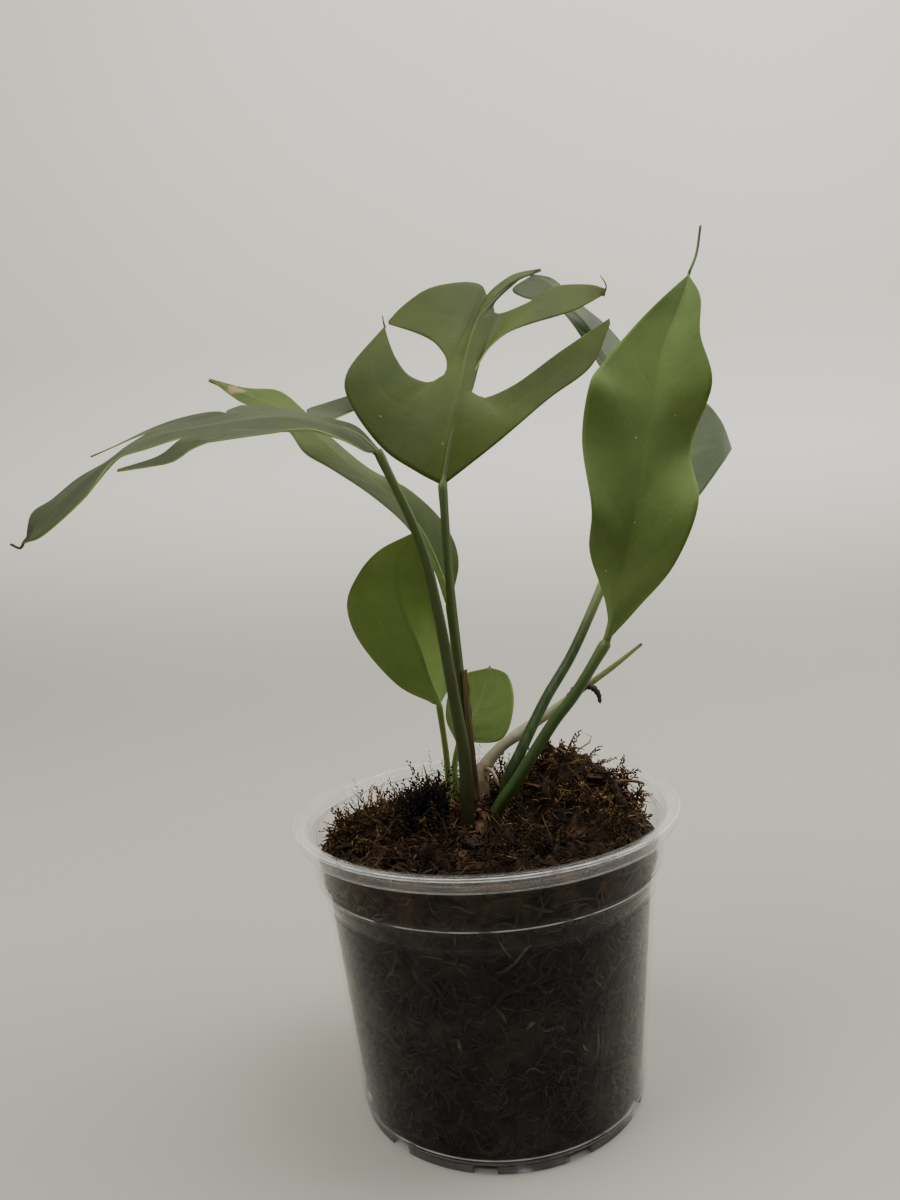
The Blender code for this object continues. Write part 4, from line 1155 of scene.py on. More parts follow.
def stalk(name, leaf, material):
    """Carries the profile along petiole and midrib; in the plan the length is 0 to 1, then 1 to 2."""
    petiole = curve_through(leaf["petiole"], 16)
    sink = under(leaf) * RIB_SINK
    midrib = curve_through(leaf["midrib"], 8)
    rib = midrib[1:] + sink
    if "hair" in leaf:
        rib = np.vstack([rib, curve_through([midrib[-1], *leaf["hair"]], 8)[1:]])
    thick, thin = leaf["petiole_r"]
    first = np.linspace(thick, thin, len(petiole))
    to_blade = np.linalg.norm(petiole - petiole[-1], axis=1)
    first *= 1 + SWELL * np.exp(-((to_blade / SWELL_REACH) ** 2))
    second = np.interp(np.linspace(0, 1, len(rib)), [0, 0.25, 1], [thin * 0.8, RIB_MIDDLE_R, RIB_TIP_R])
    path = np.vstack([petiole, rib])
    up = frames_along(path)[2]
    flip = -1 if np.sum(up @ sink) > 0 else 1
    grid, plan = carried(path, np.concatenate([first, second]), stalk_profile() * (1, flip))
    share = np.concatenate([np.linspace(0, 1, len(petiole)), np.linspace(1, 2, len(rib) + 1)[1:]])
    plan[..., 1] = np.concatenate([[0], share, [2]])[:, None]
    return new_piece(name, new_mesh(name, *stacked([(grid, plan)])), material)


print(f"midribs thin out to a radius of {RIB_TIP_R} mm")


# %% [markdown]
# Leaf green is never one colour. It drifts in clouds, it is lighter along the midrib and the side veins,
# thinner and yellower at the very edge, and it carries small pale specks of lime from watering. The thin
# sheet also lets light through, which a little subsurface scattering stands for.

# %% Leaf finishes
LIGHT_SPREAD = {"Subsurface_Radius": (1.0, 1.0, 0.3), "Subsurface_Scale": 0.0015}
LIME = shade(196, 196, 160)


def leaf_paint(name, deep, light, vein, rough=0.4, through=0.18, specks=0.5, tip=None, sheen=0.22):
    """Cloudy green with veins, cells, a pale edge and lime specks.

    tip, if the leaf has one, is the place, reach and colour of a stain.
    """
    paint = Paint(name)
    across, along = paint.plan()
    clouds = paint.noise(24, 4)
    colour = paint.mix(paint.step(clouds, 0.32, 0.68), deep, light)
    fine = paint.noise(2.2, 3)
    colour = paint.mix(paint.step(fine, 0.35, 0.75) * 0.22, colour, light)
    near = (along.part() - 0.5).size()
    side_vein = paint.step(near, 0.06, 0.012) * paint.step(across, 0.98, 0.6)
    small_vein = paint.step(((along * 4.0).part() - 0.5).size(), 0.12, 0.02)
    midrib = paint.step(across, 0.07, 0.015)
    veins = (side_vein * 0.13 + small_vein * 0.03 + midrib * 0.3).less(1.0)
    colour = paint.mix(veins, colour, vein)
    cells = paint.step(paint.cells(1.5, "DISTANCE_TO_EDGE"), 0.09, 0.0)
    colour = paint.mix(cells * 0.07, colour, vein)
    edge = paint.step(across, 0.955, 1.0)
    colour = paint.mix(edge * 0.2, colour, vein)
    dots = paint.step(paint.cells(5.5), 0.07, 0.04) * paint.step(paint.noise(30, 2), 0.45, 0.6)
    colour = paint.mix(dots * specks, colour, LIME)
    if tip:
        place, reach, stain = tip
        point = paint.node("ShaderNodeTexCoord", out="Object")
        far = paint.node("ShaderNodeVectorMath", {"operation": "DISTANCE"}, {0: point, 1: place}, out="Value")
        patch = paint.step(far / MM + paint.noise(3, 3) * 5 - 2.5, reach, reach * 0.45)
        colour = paint.mix(patch, colour, stain)
    relief = fine * 0.25 - cells * 0.3 - side_vein * 0.4
    return paint.finish(
        colour, clouds * 0.12 - midrib * 0.05 + rough, paint.bump(relief, 0.16, 0.5),
        Subsurface_Weight=through, Specular_IOR_Level=sheen, **LIGHT_SPREAD,
    )


def underside_paint(name, deep, light, vein):
    """The duller, paler face: the same side veins, raised, and no specks."""
    paint = Paint(name)
    across, along = paint.plan()
    colour = paint.mix(paint.step(paint.noise(18, 4), 0.3, 0.7), deep, light)
    near = (along.part() - 0.5).size()
    side_vein = paint.step(near, 0.07, 0.015) * paint.step(across, 0.98, 0.6)
    colour = paint.mix(side_vein * 0.3, colour, vein)
    fine = paint.noise(1.4, 3)
    return paint.finish(
        colour, 0.5 + fine * 0.15, paint.bump(fine * 0.3 + side_vein * 0.6, 0.15, 0.5),
        Subsurface_Weight=0.2, **LIGHT_SPREAD,
    )


def stalk_paint(name, base, middle, top, rib):
    """Colour by the share of the stalk: base, middle, top, then the midrib past 1, with fine streaks."""
    paint = Paint(name)
    share = paint.plan()[1]
    streaks = paint.noise(1.6, 4, 0.6, (1, 1, 0.06))
    colour = paint.ramp(share / 2.0, (
        (0.0, base), (0.12, middle), (0.42, top), (0.52, rib), (0.94, rib), (0.99, shade(62, 48, 32)),
    ))
    colour = paint.mix(paint.step(streaks, 0.4, 0.7) * 0.15, colour, rib)
    lenticels = paint.step(paint.cells(1.3, scale=(1, 1, 0.4)), 0.16, 0.08)
    colour = paint.mix(lenticels * 0.12, colour, base)
    return paint.finish(
        colour, 0.38 + streaks * 0.2, paint.bump(streaks, 0.12, 0.5), Specular_IOR_Level=0.3,
        Subsurface_Weight=0.12, Subsurface_Radius=(1.0, 1.0, 0.3), Subsurface_Scale=0.0012,
    )


print("leaf finishes let light spread", LIGHT_SPREAD["Subsurface_Scale"] / MM, "mm")


# %% [markdown]
# Each leaf has its own entry: the points of its stalk, its midrib and its margin or lobes, in millimetres,
# and its finishes. A span counts the midrib's points from the stalk, so the panels name where they start
# and end. The first leaf is an old, dark one, cut into two lobes on each side, and it faces the front.

# %% The leaf that faces the front
ROOT_Z = 80.0
OLD_UNDER = (shade(92, 104, 62), shade(112, 122, 78), shade(138, 146, 98))
LEAVES = {}
LEAVES["leaf_front_split"] = {
    "slot": "leaf_dark",
    "hair_paint": leaf_paint("lobe hair", shade(70, 56, 36), shade(96, 82, 54), shade(60, 48, 32)),
    "upper": leaf_paint(
        "front leaf", shade(54, 66, 21), shade(70, 82, 31), shade(76, 88, 36), 0.54, 0.15, 0.3, sheen=0.16,
    ),
    "lower": underside_paint("front leaf underside", *OLD_UNDER),
    "stalk": stalk_paint(
        "front stalk", shade(44, 36, 18), shade(58, 64, 28), shade(66, 80, 35), shade(72, 88, 44),
    ),
    "petiole": ((-3, -9, ROOT_Z), (-4, -7, 107), (-5, -4, 137), (-6, 0, 164), (-6, 2, 191)),
    "petiole_r": (1.7, 1.3),
    "underside": (0, 0.7, -0.7),
    "midrib": (
        (-6, 2, 191), (-2, 6, 208), (1, 12, 220), (4, 22, 233),
        (8, 32, 244), (14, 42, 253), (23, 54, 262), (34, 66, 268),
    ),
    "panels": (
        {
            "span": (0, 2),
            "low": ((-14, 4, 196), (-24, 8, 204), (-33, 12, 218), (-34, 16, 229), (-22, 30, 245)),
            "high": (
                (-3.4, 18.5, 226.3), (-7.4, 18.5, 224.4), (-10.9, 19, 225), (-15.2, 21, 227.8),
                (-18.5, 23.5, 233.2), (-20.5, 26.5, 238.8), (-22, 30.5, 245),
            ),
        },
        {
            "span": (2, 4),
            "low": (
                (-3.4, 18.5, 226.3), (-2.5, 20.5, 228.5), (-2.4, 23, 231.9), (-3.8, 26, 235.3),
                (-6.6, 29, 239), (-11.6, 32, 242.4), (-21, 37, 247),
            ),
            "high": (
                (13, 47, 256), (11, 48, 260), (4, 47, 261), (-7, 44, 259), (-16, 40, 253),
                (-21, 37.5, 248),
            ),
        },
        {"span": (4, 7), "margin": ((13, 47, 256), (17, 51, 260), (24, 58, 265), (34, 66, 268))},
        {
            "span": (0, 2),
            "low": ((0, 4, 195), (13, 9, 204), (29, 16, 216), (44, 22, 226), (52, 29, 240)),
            "high": (
                (5, 16, 220), (7.6, 16.5, 218.4), (10.4, 17, 218.2), (20, 20, 222.3),
                (35, 25, 232), (52, 30, 242),
            ),
        },
        {
            "span": (2, 4),
            "low": (
                (5, 16, 220), (4.7, 17.5, 222.2), (5.6, 20, 225.2), (7.8, 23, 229.5), (11.8, 27, 235),
                (18.3, 32, 240.2), (27, 37, 243.6), (42, 44, 248), (54, 51, 254),
            ),
            "high": (
                (15, 42, 249), (18, 44, 249), (28, 48, 253), (37, 51, 258), (49, 52, 258),
                (55, 52, 256),
            ),
        },
        {"span": (4, 7), "margin": ((15, 42, 249), (16, 48, 254), (26, 57, 263), (34, 66, 268))},
    ),
}

print("panels of this blade:", len(LEAVES["leaf_front_split"]["panels"]))

# %% [markdown]
# This leaf arches over to the left and is seen nearly from its edge, so its lobes hang down on the near
# side. Its tip has dried to a brown hook, which is a stain round one point and a short hair on the midrib.

# %% The long leaf that reaches to the left
LEAVES["leaf_left_split"] = {
    "slot": "leaf_grey",
    "upper": leaf_paint(
        "left leaf", shade(30, 42, 9), shade(46, 57, 19), shade(72, 82, 36), 0.5, 0.15, 0.2,
        tip=((-0.121, -0.030, 0.184), 5.0, shade(30, 24, 18)),
    ),
    "lower": underside_paint(
        "left leaf underside", shade(98, 118, 46), shade(126, 142, 66), shade(150, 160, 92),
    ),
    "stalk": stalk_paint(
        "left stalk", shade(38, 30, 14), shade(50, 53, 20), shade(62, 76, 32), shade(76, 88, 42),
    ),
    "petiole": (
        (-6, -16, ROOT_Z), (-5, -15, 107), (-7, -13, 129),
        (-10, -11, 155), (-14, -10, 176), (-24, -8, 202),
    ),
    "petiole_r": (2.1, 1.3),
    "midrib": (
        (-24, -8, 202), (-30, -8, 208), (-37, -8, 211), (-49, -9, 214), (-61, -11, 214),
        (-69, -13, 213), (-77, -15, 212), (-88, -18, 210), (-97, -22, 205),
        (-109, -28, 195), (-121, -30, 184),
    ),
    "hair": ((-122.5, -30, 181.8), (-125, -30, 183)),
    "panels": (
        {
            "span": (0, 4),
            "low": ((-27, -13, 202), (-32, -21, 205), (-40, -30, 208), (-51, -38, 207), (-68, -46, 205)),
            "high": ((-61, -24, 210), (-62, -30, 209), (-65, -38, 207), (-68, -45, 206)),
        },
        {
            "span": (4, 6),
            "low": (
                (-61, -24, 210), (-65, -31, 207.5), (-70.5, -37, 204.6), (-73, -41, 202.2),
                (-76, -44, 200.8), (-87, -48, 199.5),
            ),
            "high": ((-76, -25, 209), (-76, -32, 207), (-79, -40, 203), (-87, -47.5, 200)),
        },
        {
            "span": (6, 10),
            "margin": (
                (-76, -25, 209), (-84, -32, 206), (-92, -36, 203), (-99, -40, 194),
                (-111, -40, 185), (-121, -31, 183),
            ),
        },
        {"span": (0, 2), "margin": ((-24, -7, 203), (-30, -4, 210), (-37, -3, 213))},
        {
            "span": (2, 3),
            "low": (
                (-37, -3, 213), (-36.5, 5, 214.2), (-34.5, 13, 216), (-31.5, 20, 218.5),
                (-30, 30, 224),
            ),
            "high": (
                (-46, 5, 216), (-47, 14, 218.3), (-43, 22, 220.5), (-36, 28, 223),
                (-30.5, 30, 224.3),
            ),
        },
        {
            "span": (3, 5),
            "low": ((-46, 5, 216), (-52, 14, 218), (-61, 24, 221), (-71, 32, 223)),
            "high": ((-70, 3, 217.5), (-72, 10, 219), (-72, 20, 221), (-72, 31, 223)),
        },
        {
            "span": (5, 7),
            "low": (
                (-70, 3, 217.5), (-74, 7, 218.8), (-81, 11, 219), (-90, 12, 217.6), (-98, 11, 215),
                (-105, 7, 211.4), (-112, 0, 207.3),
            ),
            "high": (
                (-91, -6, 213), (-95, -3, 212.6), (-101, -1, 211), (-107, -0.5, 209),
                (-112, -0.5, 207.5),
            ),
        },
        {
            "span": (7, 10),
            "margin": (
                (-91, -6, 213), (-98, -8, 209), (-103.5, -10.5, 204.8), (-111, -14, 200.4),
                (-117, -19, 194.7), (-121, -24, 191), (-121, -29, 184),
            ),
        },
    ),
}

print("panels of this blade:", len(LEAVES["leaf_left_split"]["panels"]))

# %% [markdown]
# The youngest leaf is whole, narrow and yellow-green, because a new blade is thin and still filling with
# green. More light comes through it than through the others, and its tip is pale.

# %% The pale young leaf
LEAVES["leaf_left_young"] = {
    "slot": "leaf_young",
    "upper": leaf_paint(
        "young leaf", shade(52, 70, 13), shade(72, 88, 23), shade(94, 108, 40), 0.5, 0.35, 0.2,
        tip=((-0.076, 0.044, 0.231), 4.0, shade(126, 116, 70)),
    ),
    "lower": underside_paint(
        "young leaf underside", shade(118, 140, 62), shade(142, 160, 84), shade(164, 176, 110),
    ),
    "stalk": stalk_paint(
        "young stalk", shade(126, 136, 78), shade(96, 118, 52), shade(92, 116, 48), shade(108, 126, 58),
    ),
    "veins": 1.2,
    "petiole": ((-6, 9, ROOT_Z), (-5, 12, 104), (-6, 15, 129), (-7, 13, 153)),
    "petiole_r": (1.3, 1.0),
    "midrib": (
        (-7, 13, 153), (-9, 15, 164), (-15, 18, 179), (-25, 22, 191), (-36, 26, 200),
        (-46, 30, 210), (-54, 34, 218), (-64, 39, 224), (-75, 43, 229), (-86, 47, 235),
    ),
    "panels": (
        {
            "span": (0, 9),
            "margin": (
                (-6, 14, 155), (-3, 20, 167), (-7, 26, 179), (-18, 32, 191), (-31, 36, 199),
                (-43, 40, 210), (-53, 44, 221), (-62, 48, 229), (-74, 48, 231), (-86, 47, 235),
            ),
        },
        {
            "span": (0, 9),
            "margin": (
                (-8, 12, 154), (-11, 8, 166), (-18, 8, 179), (-29, 10, 190), (-41, 14, 199),
                (-50, 19, 205), (-56, 26, 213), (-66, 33, 221), (-75, 40, 226), (-86, 47, 235),
            ),
        },
    ),
}

print("panels of this blade:", len(LEAVES["leaf_left_young"]["panels"]))

# %% [markdown]
# The two oldest leaves of the young plant stand low and upright and have no lobes. Such a blade is only two
# margins, one on each side of the midrib.

# %% The two low leaves
LEAVES["leaf_low_round"] = {
    "slot": "leaf_light",
    "upper": leaf_paint(
        "low leaf", shade(92, 114, 48), shade(110, 132, 60), shade(104, 122, 56), 0.46, 0.2, 0.25,
    ),
    "lower": underside_paint(
        "low leaf underside", shade(82, 104, 44), shade(104, 124, 60), shade(134, 150, 88),
    ),
    "stalk": stalk_paint(
        "low stalk", shade(146, 154, 98), shade(136, 150, 86), shade(112, 130, 62), shade(88, 106, 44),
    ),
    "veins": 1.3,
    "petiole": ((-11, 4, ROOT_Z), (-11, 4, 93), (-11, 3, 106), (-12, 1, 123)),
    "petiole_r": (1.2, 0.9),
    "underside": (0.3, 0.95, 0),
    "midrib": (
        (-12, 1, 123), (-15, 1, 132), (-17, 0, 141), (-20, -1, 151), (-22, -1.5, 161),
        (-21, -3, 170), (-16, -4.5, 177.5),
    ),
    "panels": (
        {
            "span": (0, 6),
            "margin": (
                (-14, 1, 124), (-25, 5, 130), (-36, 8, 144), (-39, 8, 156), (-34, 4, 166),
                (-26.5, -1, 173), (-16, -4.5, 177.5),
            ),
        },
        {
            "span": (0, 6),
            "margin": (
                (-12, 3, 123), (-9, 7, 128), (-8.5, 9, 137), (-8.5, 8, 148), (-9.5, 4, 157),
                (-11, 1, 165), (-13, -2, 171.5), (-16, -4.5, 177.5),
            ),
        },
    ),
}
LEAVES["leaf_back_small"] = {
    "slot": "leaf_light",
    "upper": leaf_paint(
        "small leaf", shade(84, 106, 46), shade(102, 122, 60), shade(122, 138, 76), 0.46, 0.25, 0.2,
    ),
    "lower": underside_paint(
        "small leaf underside", shade(96, 118, 58), shade(114, 134, 74), shade(140, 156, 98),
    ),
    "stalk": stalk_paint(
        "small stalk", shade(136, 142, 92), shade(110, 126, 64), shade(104, 122, 58), shade(128, 144, 78),
    ),
    "veins": 1.6,
    "petiole": ((-9, 13.5, ROOT_Z), (-9, 14.5, 92), (-9, 15, 100), (-7, 16.5, 107)),
    "petiole_r": (1.1, 0.9),
    "underside": (0, 0.9, 0.3),
    "midrib": ((-7, 16.5, 107), (-4, 19, 112), (1, 24, 119), (5, 30, 129)),
    "panels": (
        {"span": (0, 3), "margin": ((-8, 17, 107), (-11, 23, 115), (-7, 29, 126), (5, 30, 129))},
        {
            "span": (0, 3),
            "margin": ((-6, 16.5, 107), (7, 17, 107), (12, 22, 117), (11, 28, 126), (5, 30, 129)),
        },
    ),
}

print("panels of this blade:", len(LEAVES["leaf_low_round"]["panels"]))

# %% [markdown]
# The large leaf on the right is whole, with a wavy margin and a long drip tip. The waves are in its margin's
# points, which swing to the front and back of the midrib. It is nearly matt and has the most lime specks.

# %% The unsplit leaf on the right
LEAVES["leaf_right_whole"] = {
    "slot": "leaf_dark",
    "upper": leaf_paint(
        "right leaf", shade(84, 102, 54), shade(99, 116, 66), shade(112, 126, 66),
        0.66, 0.18, 0.8, sheen=0.08,
    ),
    "lower": underside_paint("right leaf underside", *OLD_UNDER),
    "stalk": stalk_paint(
        "right stalk", shade(84, 92, 50), shade(54, 73, 32), shade(56, 75, 34), shade(86, 102, 50),
    ),
    "veins": 1.15,
    "petiole": (
        (1, -12, ROOT_Z), (3, -13, 92), (10, -16, 103), (21, -20, 120), (28, -22, 129), (37, -24, 143),
    ),
    "petiole_r": (2.0, 1.5),
    "underside": (0.3, 0.95, 0),
    "midrib": (
        (37, -24, 143), (39, -25, 149), (42, -27, 161), (46, -29, 175), (49, -30, 190),
        (53, -28, 207), (57, -24, 222), (63, -18, 234), (68, -12, 245),
    ),
    "hair": ((71, -10, 251), (73, -8, 259)),
    "panels": (
        {
            "span": (0, 8),
            "margin": (
                (37, -23, 145), (39, -21, 153), (34, -26, 169), (34, -34, 182), (33, -30, 200),
                (35.5, -32, 214), (40, -27, 220), (51, -22.5, 231), (59.5, -19, 238.3), (68, -12, 245),
            ),
        },
        {
            "span": (0, 8),
            "margin": (
                (38, -24, 144), (47, -24, 153), (56, -32, 165), (62, -36, 181), (63, -26, 196),
                (68, -32, 212), (67, -26, 226), (69, -20, 237), (68, -12, 245),
            ),
        },
    ),
}

print("panels of this blade:", len(LEAVES["leaf_right_whole"]["panels"]))

# %% [markdown]
# Behind it stands another old split leaf, which leans away from the eye. Mostly its lower lobe and the
# long curve of its top show.

# %% The split leaf behind it
LEAVES["leaf_right_split"] = {
    "slot": "leaf_grey",
    "upper": leaf_paint(
        "back leaf", shade(46, 60, 28), shade(63, 75, 42), shade(104, 116, 76), 0.4, 0.15, 0.2,
    ),
    "lower": underside_paint("back leaf underside", *OLD_UNDER),
    "stalk": stalk_paint(
        "back stalk", shade(80, 88, 50), shade(44, 64, 30), shade(48, 68, 32), shade(140, 150, 100),
    ),
    "petiole": (
        (3, -3, ROOT_Z), (7, -4, 98), (12, -4, 108), (21, 0, 123), (31, 4, 137), (43, 8, 159),
    ),
    "petiole_r": (1.9, 1.5),
    "underside": (0, 0.7, -0.7),
    "midrib": (
        (43, 8, 159), (48, 9, 169), (52, 12, 181), (55, 18, 193), (57, 26, 207), (56, 35, 221),
        (52, 44, 233), (48, 52, 244), (42, 62, 255), (37, 70, 264), (31, 77, 268),
    ),
    "panels": (
        {
            "span": (0, 3),
            "low": ((46, 6, 158), (58, 2, 168), (71, 4, 181), (81, 8, 192), (85, 12, 196)),
            "high": ((66, 26, 203), (71, 29, 209), (80, 28, 213), (84, 20, 206), (85, 13, 197)),
        },
        {
            "span": (3, 5),
            "low": ((66, 26, 203), (69, 32, 213), (78, 38, 223), (84, 42, 231)),
            "high": ((63, 38, 224), (67, 42, 229), (74, 44, 232), (84, 43, 232)),
        },
        {
            "span": (5, 10),
            "margin": (
                (63, 38, 224), (59, 48, 236), (54, 55, 245), (45, 64, 256), (39, 71, 265), (31, 77, 269),
            ),
        },
        {
            "span": (0, 4),
            "low": ((42, 12, 159), (45, 18, 169), (45, 26, 183), (47, 34, 200), (51, 40, 212)),
            "high": ((52, 30, 209), (51, 34, 212), (51, 38, 214), (51, 41, 213)),
        },
        {
            "span": (4, 10),
            "margin": (
                (52, 30, 209), (51, 38, 223), (47, 46, 235), (39, 60, 252), (27, 73, 260), (24, 77, 264),
                (31, 77, 268),
            ),
        },
    ),
}

print("panels of this blade:", len(LEAVES["leaf_right_split"]["panels"]))

# %% [markdown]
# Now every entry becomes a blade and a stalk. They are two pieces with their own finishes, and together
# they stand for one grown leaf.

# %% Grow every leaf
for node, leaf in LEAVES.items():
    sheet = blade(node.replace("leaf", "blade"), leaf, leaf["upper"], leaf["lower"])
    bar = stalk(node.replace("leaf", "stalk"), leaf, leaf["stalk"])
    for piece in (sheet, bar):
        stands_for(piece, node)

# %% [markdown]
# Two lobes of the front leaf end in short dry hairs. Each is a tiny tube that thins to its tip.

# %% Hairs at the front leaf's lobe tips
HAIR_FOOT_R, HAIR_TIP_R = 0.4, 0.15
LOBE_HAIRS = (
    ((-21.8, 30.4, 244.5), (-22.2, 30.5, 246.5), (-22.4, 30.6, 248.6)),
    ((53.8, 50.8, 253.5), (54.8, 50.5, 257), (53, 50.5, 260.5)),
)


def hair(points):
    """A round profile whose radius falls evenly from HAIR_FOOT_R to HAIR_TIP_R along the points."""
    path = curve_through(points, 8)
    return carried(path, np.linspace(HAIR_FOOT_R, HAIR_TIP_R, len(path)), round_profile(8))


hairs_mesh = new_mesh("lobe_hairs", *stacked([hair(points) for points in LOBE_HAIRS]))
lobe_hairs = new_piece("lobe_hairs", hairs_mesh, LEAVES["leaf_front_split"]["hair_paint"])
stands_for(lobe_hairs, "leaf_front_split")

# %% [markdown]
# All stalks rise from one short stem, half hidden in the soil. It is pale and ringed by old leaf scars.
# An older stalk leans from it to the right; it has lost its blade, and a dry black skin curls from it.

# %% Short stem and old stalk
STEM = ((-2, 4, 80), (-1, 4.5, 92), (0, 5, 100), (6, 6, 107), (14, 7, 112), (21, 8, 116), (33, 10, 123))
OLD_TIP = ((30, 9.5, 121.2), (33, 10, 123), (44, 12, 129.5), (54, 14, 136))
DEAD_SKIN = ((29, 9, 121), (32, 8, 124.5), (36, 8.5, 124.5), (38.5, 9, 122), (39, 9, 119))
ROOTLET = ((0.5, 4.5, 101), (2.5, -0.5, 102), (4, -2.5, 100), (4.6, -3.2, 97.5))


LIMB_STEPS = 14
SCARS = 9


def limb(points, radii, rings=0.0, sides=20):
    """A tube through the points; its radius runs through radii and swells by rings at even scars."""
    path = curve_through(points, LIMB_STEPS)
    share = np.linspace(0, 1, len(path))
    size = np.interp(share, np.linspace(0, 1, len(radii)), radii)
    scars = np.abs(np.sin(math.pi * SCARS * share)) ** 6
    return carried(path, size * (1 + rings * scars), round_profile(sides))


def stem_paint():
    paint = Paint("pale stem")
    share = paint.plan()[1]
    streaks = paint.noise(1.5, 5, 0.65, (0.4, 1, 1))
    colour = paint.ramp(share, (
        (0.0, shade(72, 52, 36)), (0.3, shade(140, 128, 98)),
        (0.6, shade(176, 172, 142)), (1.0, shade(128, 134, 80)),
    ))
    colour = paint.mix(paint.step(streaks, 0.45, 0.7) * 0.35, colour, shade(104, 82, 58))
    return paint.finish(colour, 0.5 + streaks * 0.25, paint.bump(streaks, 0.25, 0.6))


def old_stalk_paint():
    paint = Paint("old stalk")
    share = paint.plan()[1]
    streaks = paint.noise(1.2, 4, 0.6, (0.15, 1, 1))
    colour = paint.mix(paint.step(streaks, 0.4, 0.7) * 0.5, shade(104, 118, 58), shade(138, 146, 92))
    colour = paint.mix(paint.step(share, 0.95, 1.0), colour, shade(74, 66, 36))
    return paint.finish(colour, 0.45 + streaks * 0.2, paint.bump(streaks, 0.12, 0.5))


def dead_skin_paint():
    paint = Paint("dead skin")
    grain = paint.noise(1.1, 5, 0.7)
    colour = paint.mix(paint.step(grain, 0.35, 0.7), shade(20, 15, 12), shade(78, 58, 42))
    return paint.finish(colour, 0.6 + grain * 0.3, paint.bump(grain, 0.3, 0.8))


stem_limbs = [
    limb(STEM, (3.0, 2.8, 2.4, 1.7, 1.9, 1.5, 1.2), rings=0.07),
    limb(ROOTLET, (0.6, 0.6, 0.5, 0.4), sides=12),
]
stalk_limbs = [limb(OLD_TIP, (1.0, 1.1, 0.9, 0.5))]
skin_limbs = [limb(DEAD_SKIN, (1.0, 1.1, 1.0, 0.8, 0.5), rings=0.3)]
for name, limbs, material in (
    ("short_stem", stem_limbs, stem_paint()),
    ("old_stalk", stalk_limbs, old_stalk_paint()),
    ("curled_dead_skin", skin_limbs, dead_skin_paint()),
):
    stands_for(new_piece(name, new_mesh(name, *stacked(limbs)), material), "stem")

# %% [markdown]
# A dry brown skin, the remains of the sheath that a new leaf unrolled from, still wraps the front stalk.
# It is part of a round shell whose width narrows upwards. Its free edges ripple and stand off the stalk.

# %% Dry sheath
SHEATH_LOW, SHEATH_HIGH = 95.3, 135.0
SHEATH_FACES = math.radians(-38)
SHEATH_FROM, SHEATH_TO = math.radians(-75), math.radians(95)
SHEATH_NARROWS = 0.6
SHEATH_GAP, SHEATH_FLARE, SHEATH_T = 0.55, 0.25, 0.25
SHEATH_ROWS, SHEATH_COLUMNS = 90, 40


def sheath_sheet():
    """Shell round the front stalk: an arc that narrows with height, at radius stalk + gap + ripple."""
    leaf = LEAVES["leaf_front_split"]
    path = curve_through(leaf["petiole"], 16)
    z = np.linspace(SHEATH_LOW, SHEATH_HIGH, SHEATH_ROWS)[:, None]
    share = (z - SHEATH_LOW) / (SHEATH_HIGH - SHEATH_LOW)
    arc = np.linspace(SHEATH_FROM, SHEATH_TO, SHEATH_COLUMNS)[None, :]
    turn = SHEATH_FACES + arc * (1 - SHEATH_NARROWS * share)
    radii = np.interp(np.linspace(0, 1, len(path)), [0, 1], leaf["petiole_r"])
    x, y, r = (np.interp(z, path[:, 2], values) for values in (path[:, 0], path[:, 1], radii))
    edge = np.abs(arc / SHEATH_TO) ** 4
    flare = SHEATH_FLARE * edge * (1 + np.sin(z * 0.9 + 3 * arc))
    r = r + SHEATH_GAP + flare + 0.06 * np.sin(9 * arc + 0.2 * z)
    grid = np.stack(np.broadcast_arrays(x + r * np.cos(turn), y + r * np.sin(turn), z), axis=-1)
    plan = np.stack(np.broadcast_arrays((arc + 2) / 4, share), axis=-1)
    return grid, plan


def sheath_paint():
    paint = Paint("dry sheath")
    share = paint.plan()[1]
    streaks = paint.noise(1.2, 5, 0.7, (1, 1, 0.05))
    colour = paint.mix(paint.step(streaks, 0.35, 0.68), shade(38, 28, 16), shade(84, 66, 40))
    blotches = paint.step(paint.noise(5, 3), 0.5, 0.65)
    colour = paint.mix(blotches * 0.5, colour, shade(54, 38, 26))
    colour = paint.mix(share * 0.35, colour, shade(92, 88, 50))
    relief = paint.bump(streaks, 0.2, 0.7)
    return paint.finish(colour, 0.6 + streaks * 0.25, relief, Specular_IOR_Level=0.15)


sheath_mesh = new_mesh("sheath", *stacked([sheath_sheet()]))
sheath = new_piece("dry_skin", sheath_mesh, sheath_paint())
sheath_thick = sheath.modifiers.new("Thickness", "SOLIDIFY")
sheath_thick.thickness = SHEATH_T * MM
sheath_thick.offset = 0
applied(sheath)
stands_for(sheath, "dry_sheath")

# %% [markdown]
# The studio is a plain pale sweep: a floor that curves up into a backdrop, so there is no hard line behind
# the plant. It is one profile pulled sideways.

# %% Floor and backdrop
SWEEP_HALF, SWEEP_FRONT, SWEEP_BACK = 2400.0, -1500.0, 560.0
SWEEP_BEND, SWEEP_TOP = 420.0, 2600.0
FLOOR_ROWS, BEND_ROWS, SWEEP_COLUMNS = 30, 40, 25
PALE_FROM_Z = 260  # the height at which the floor's grey has become the wall's


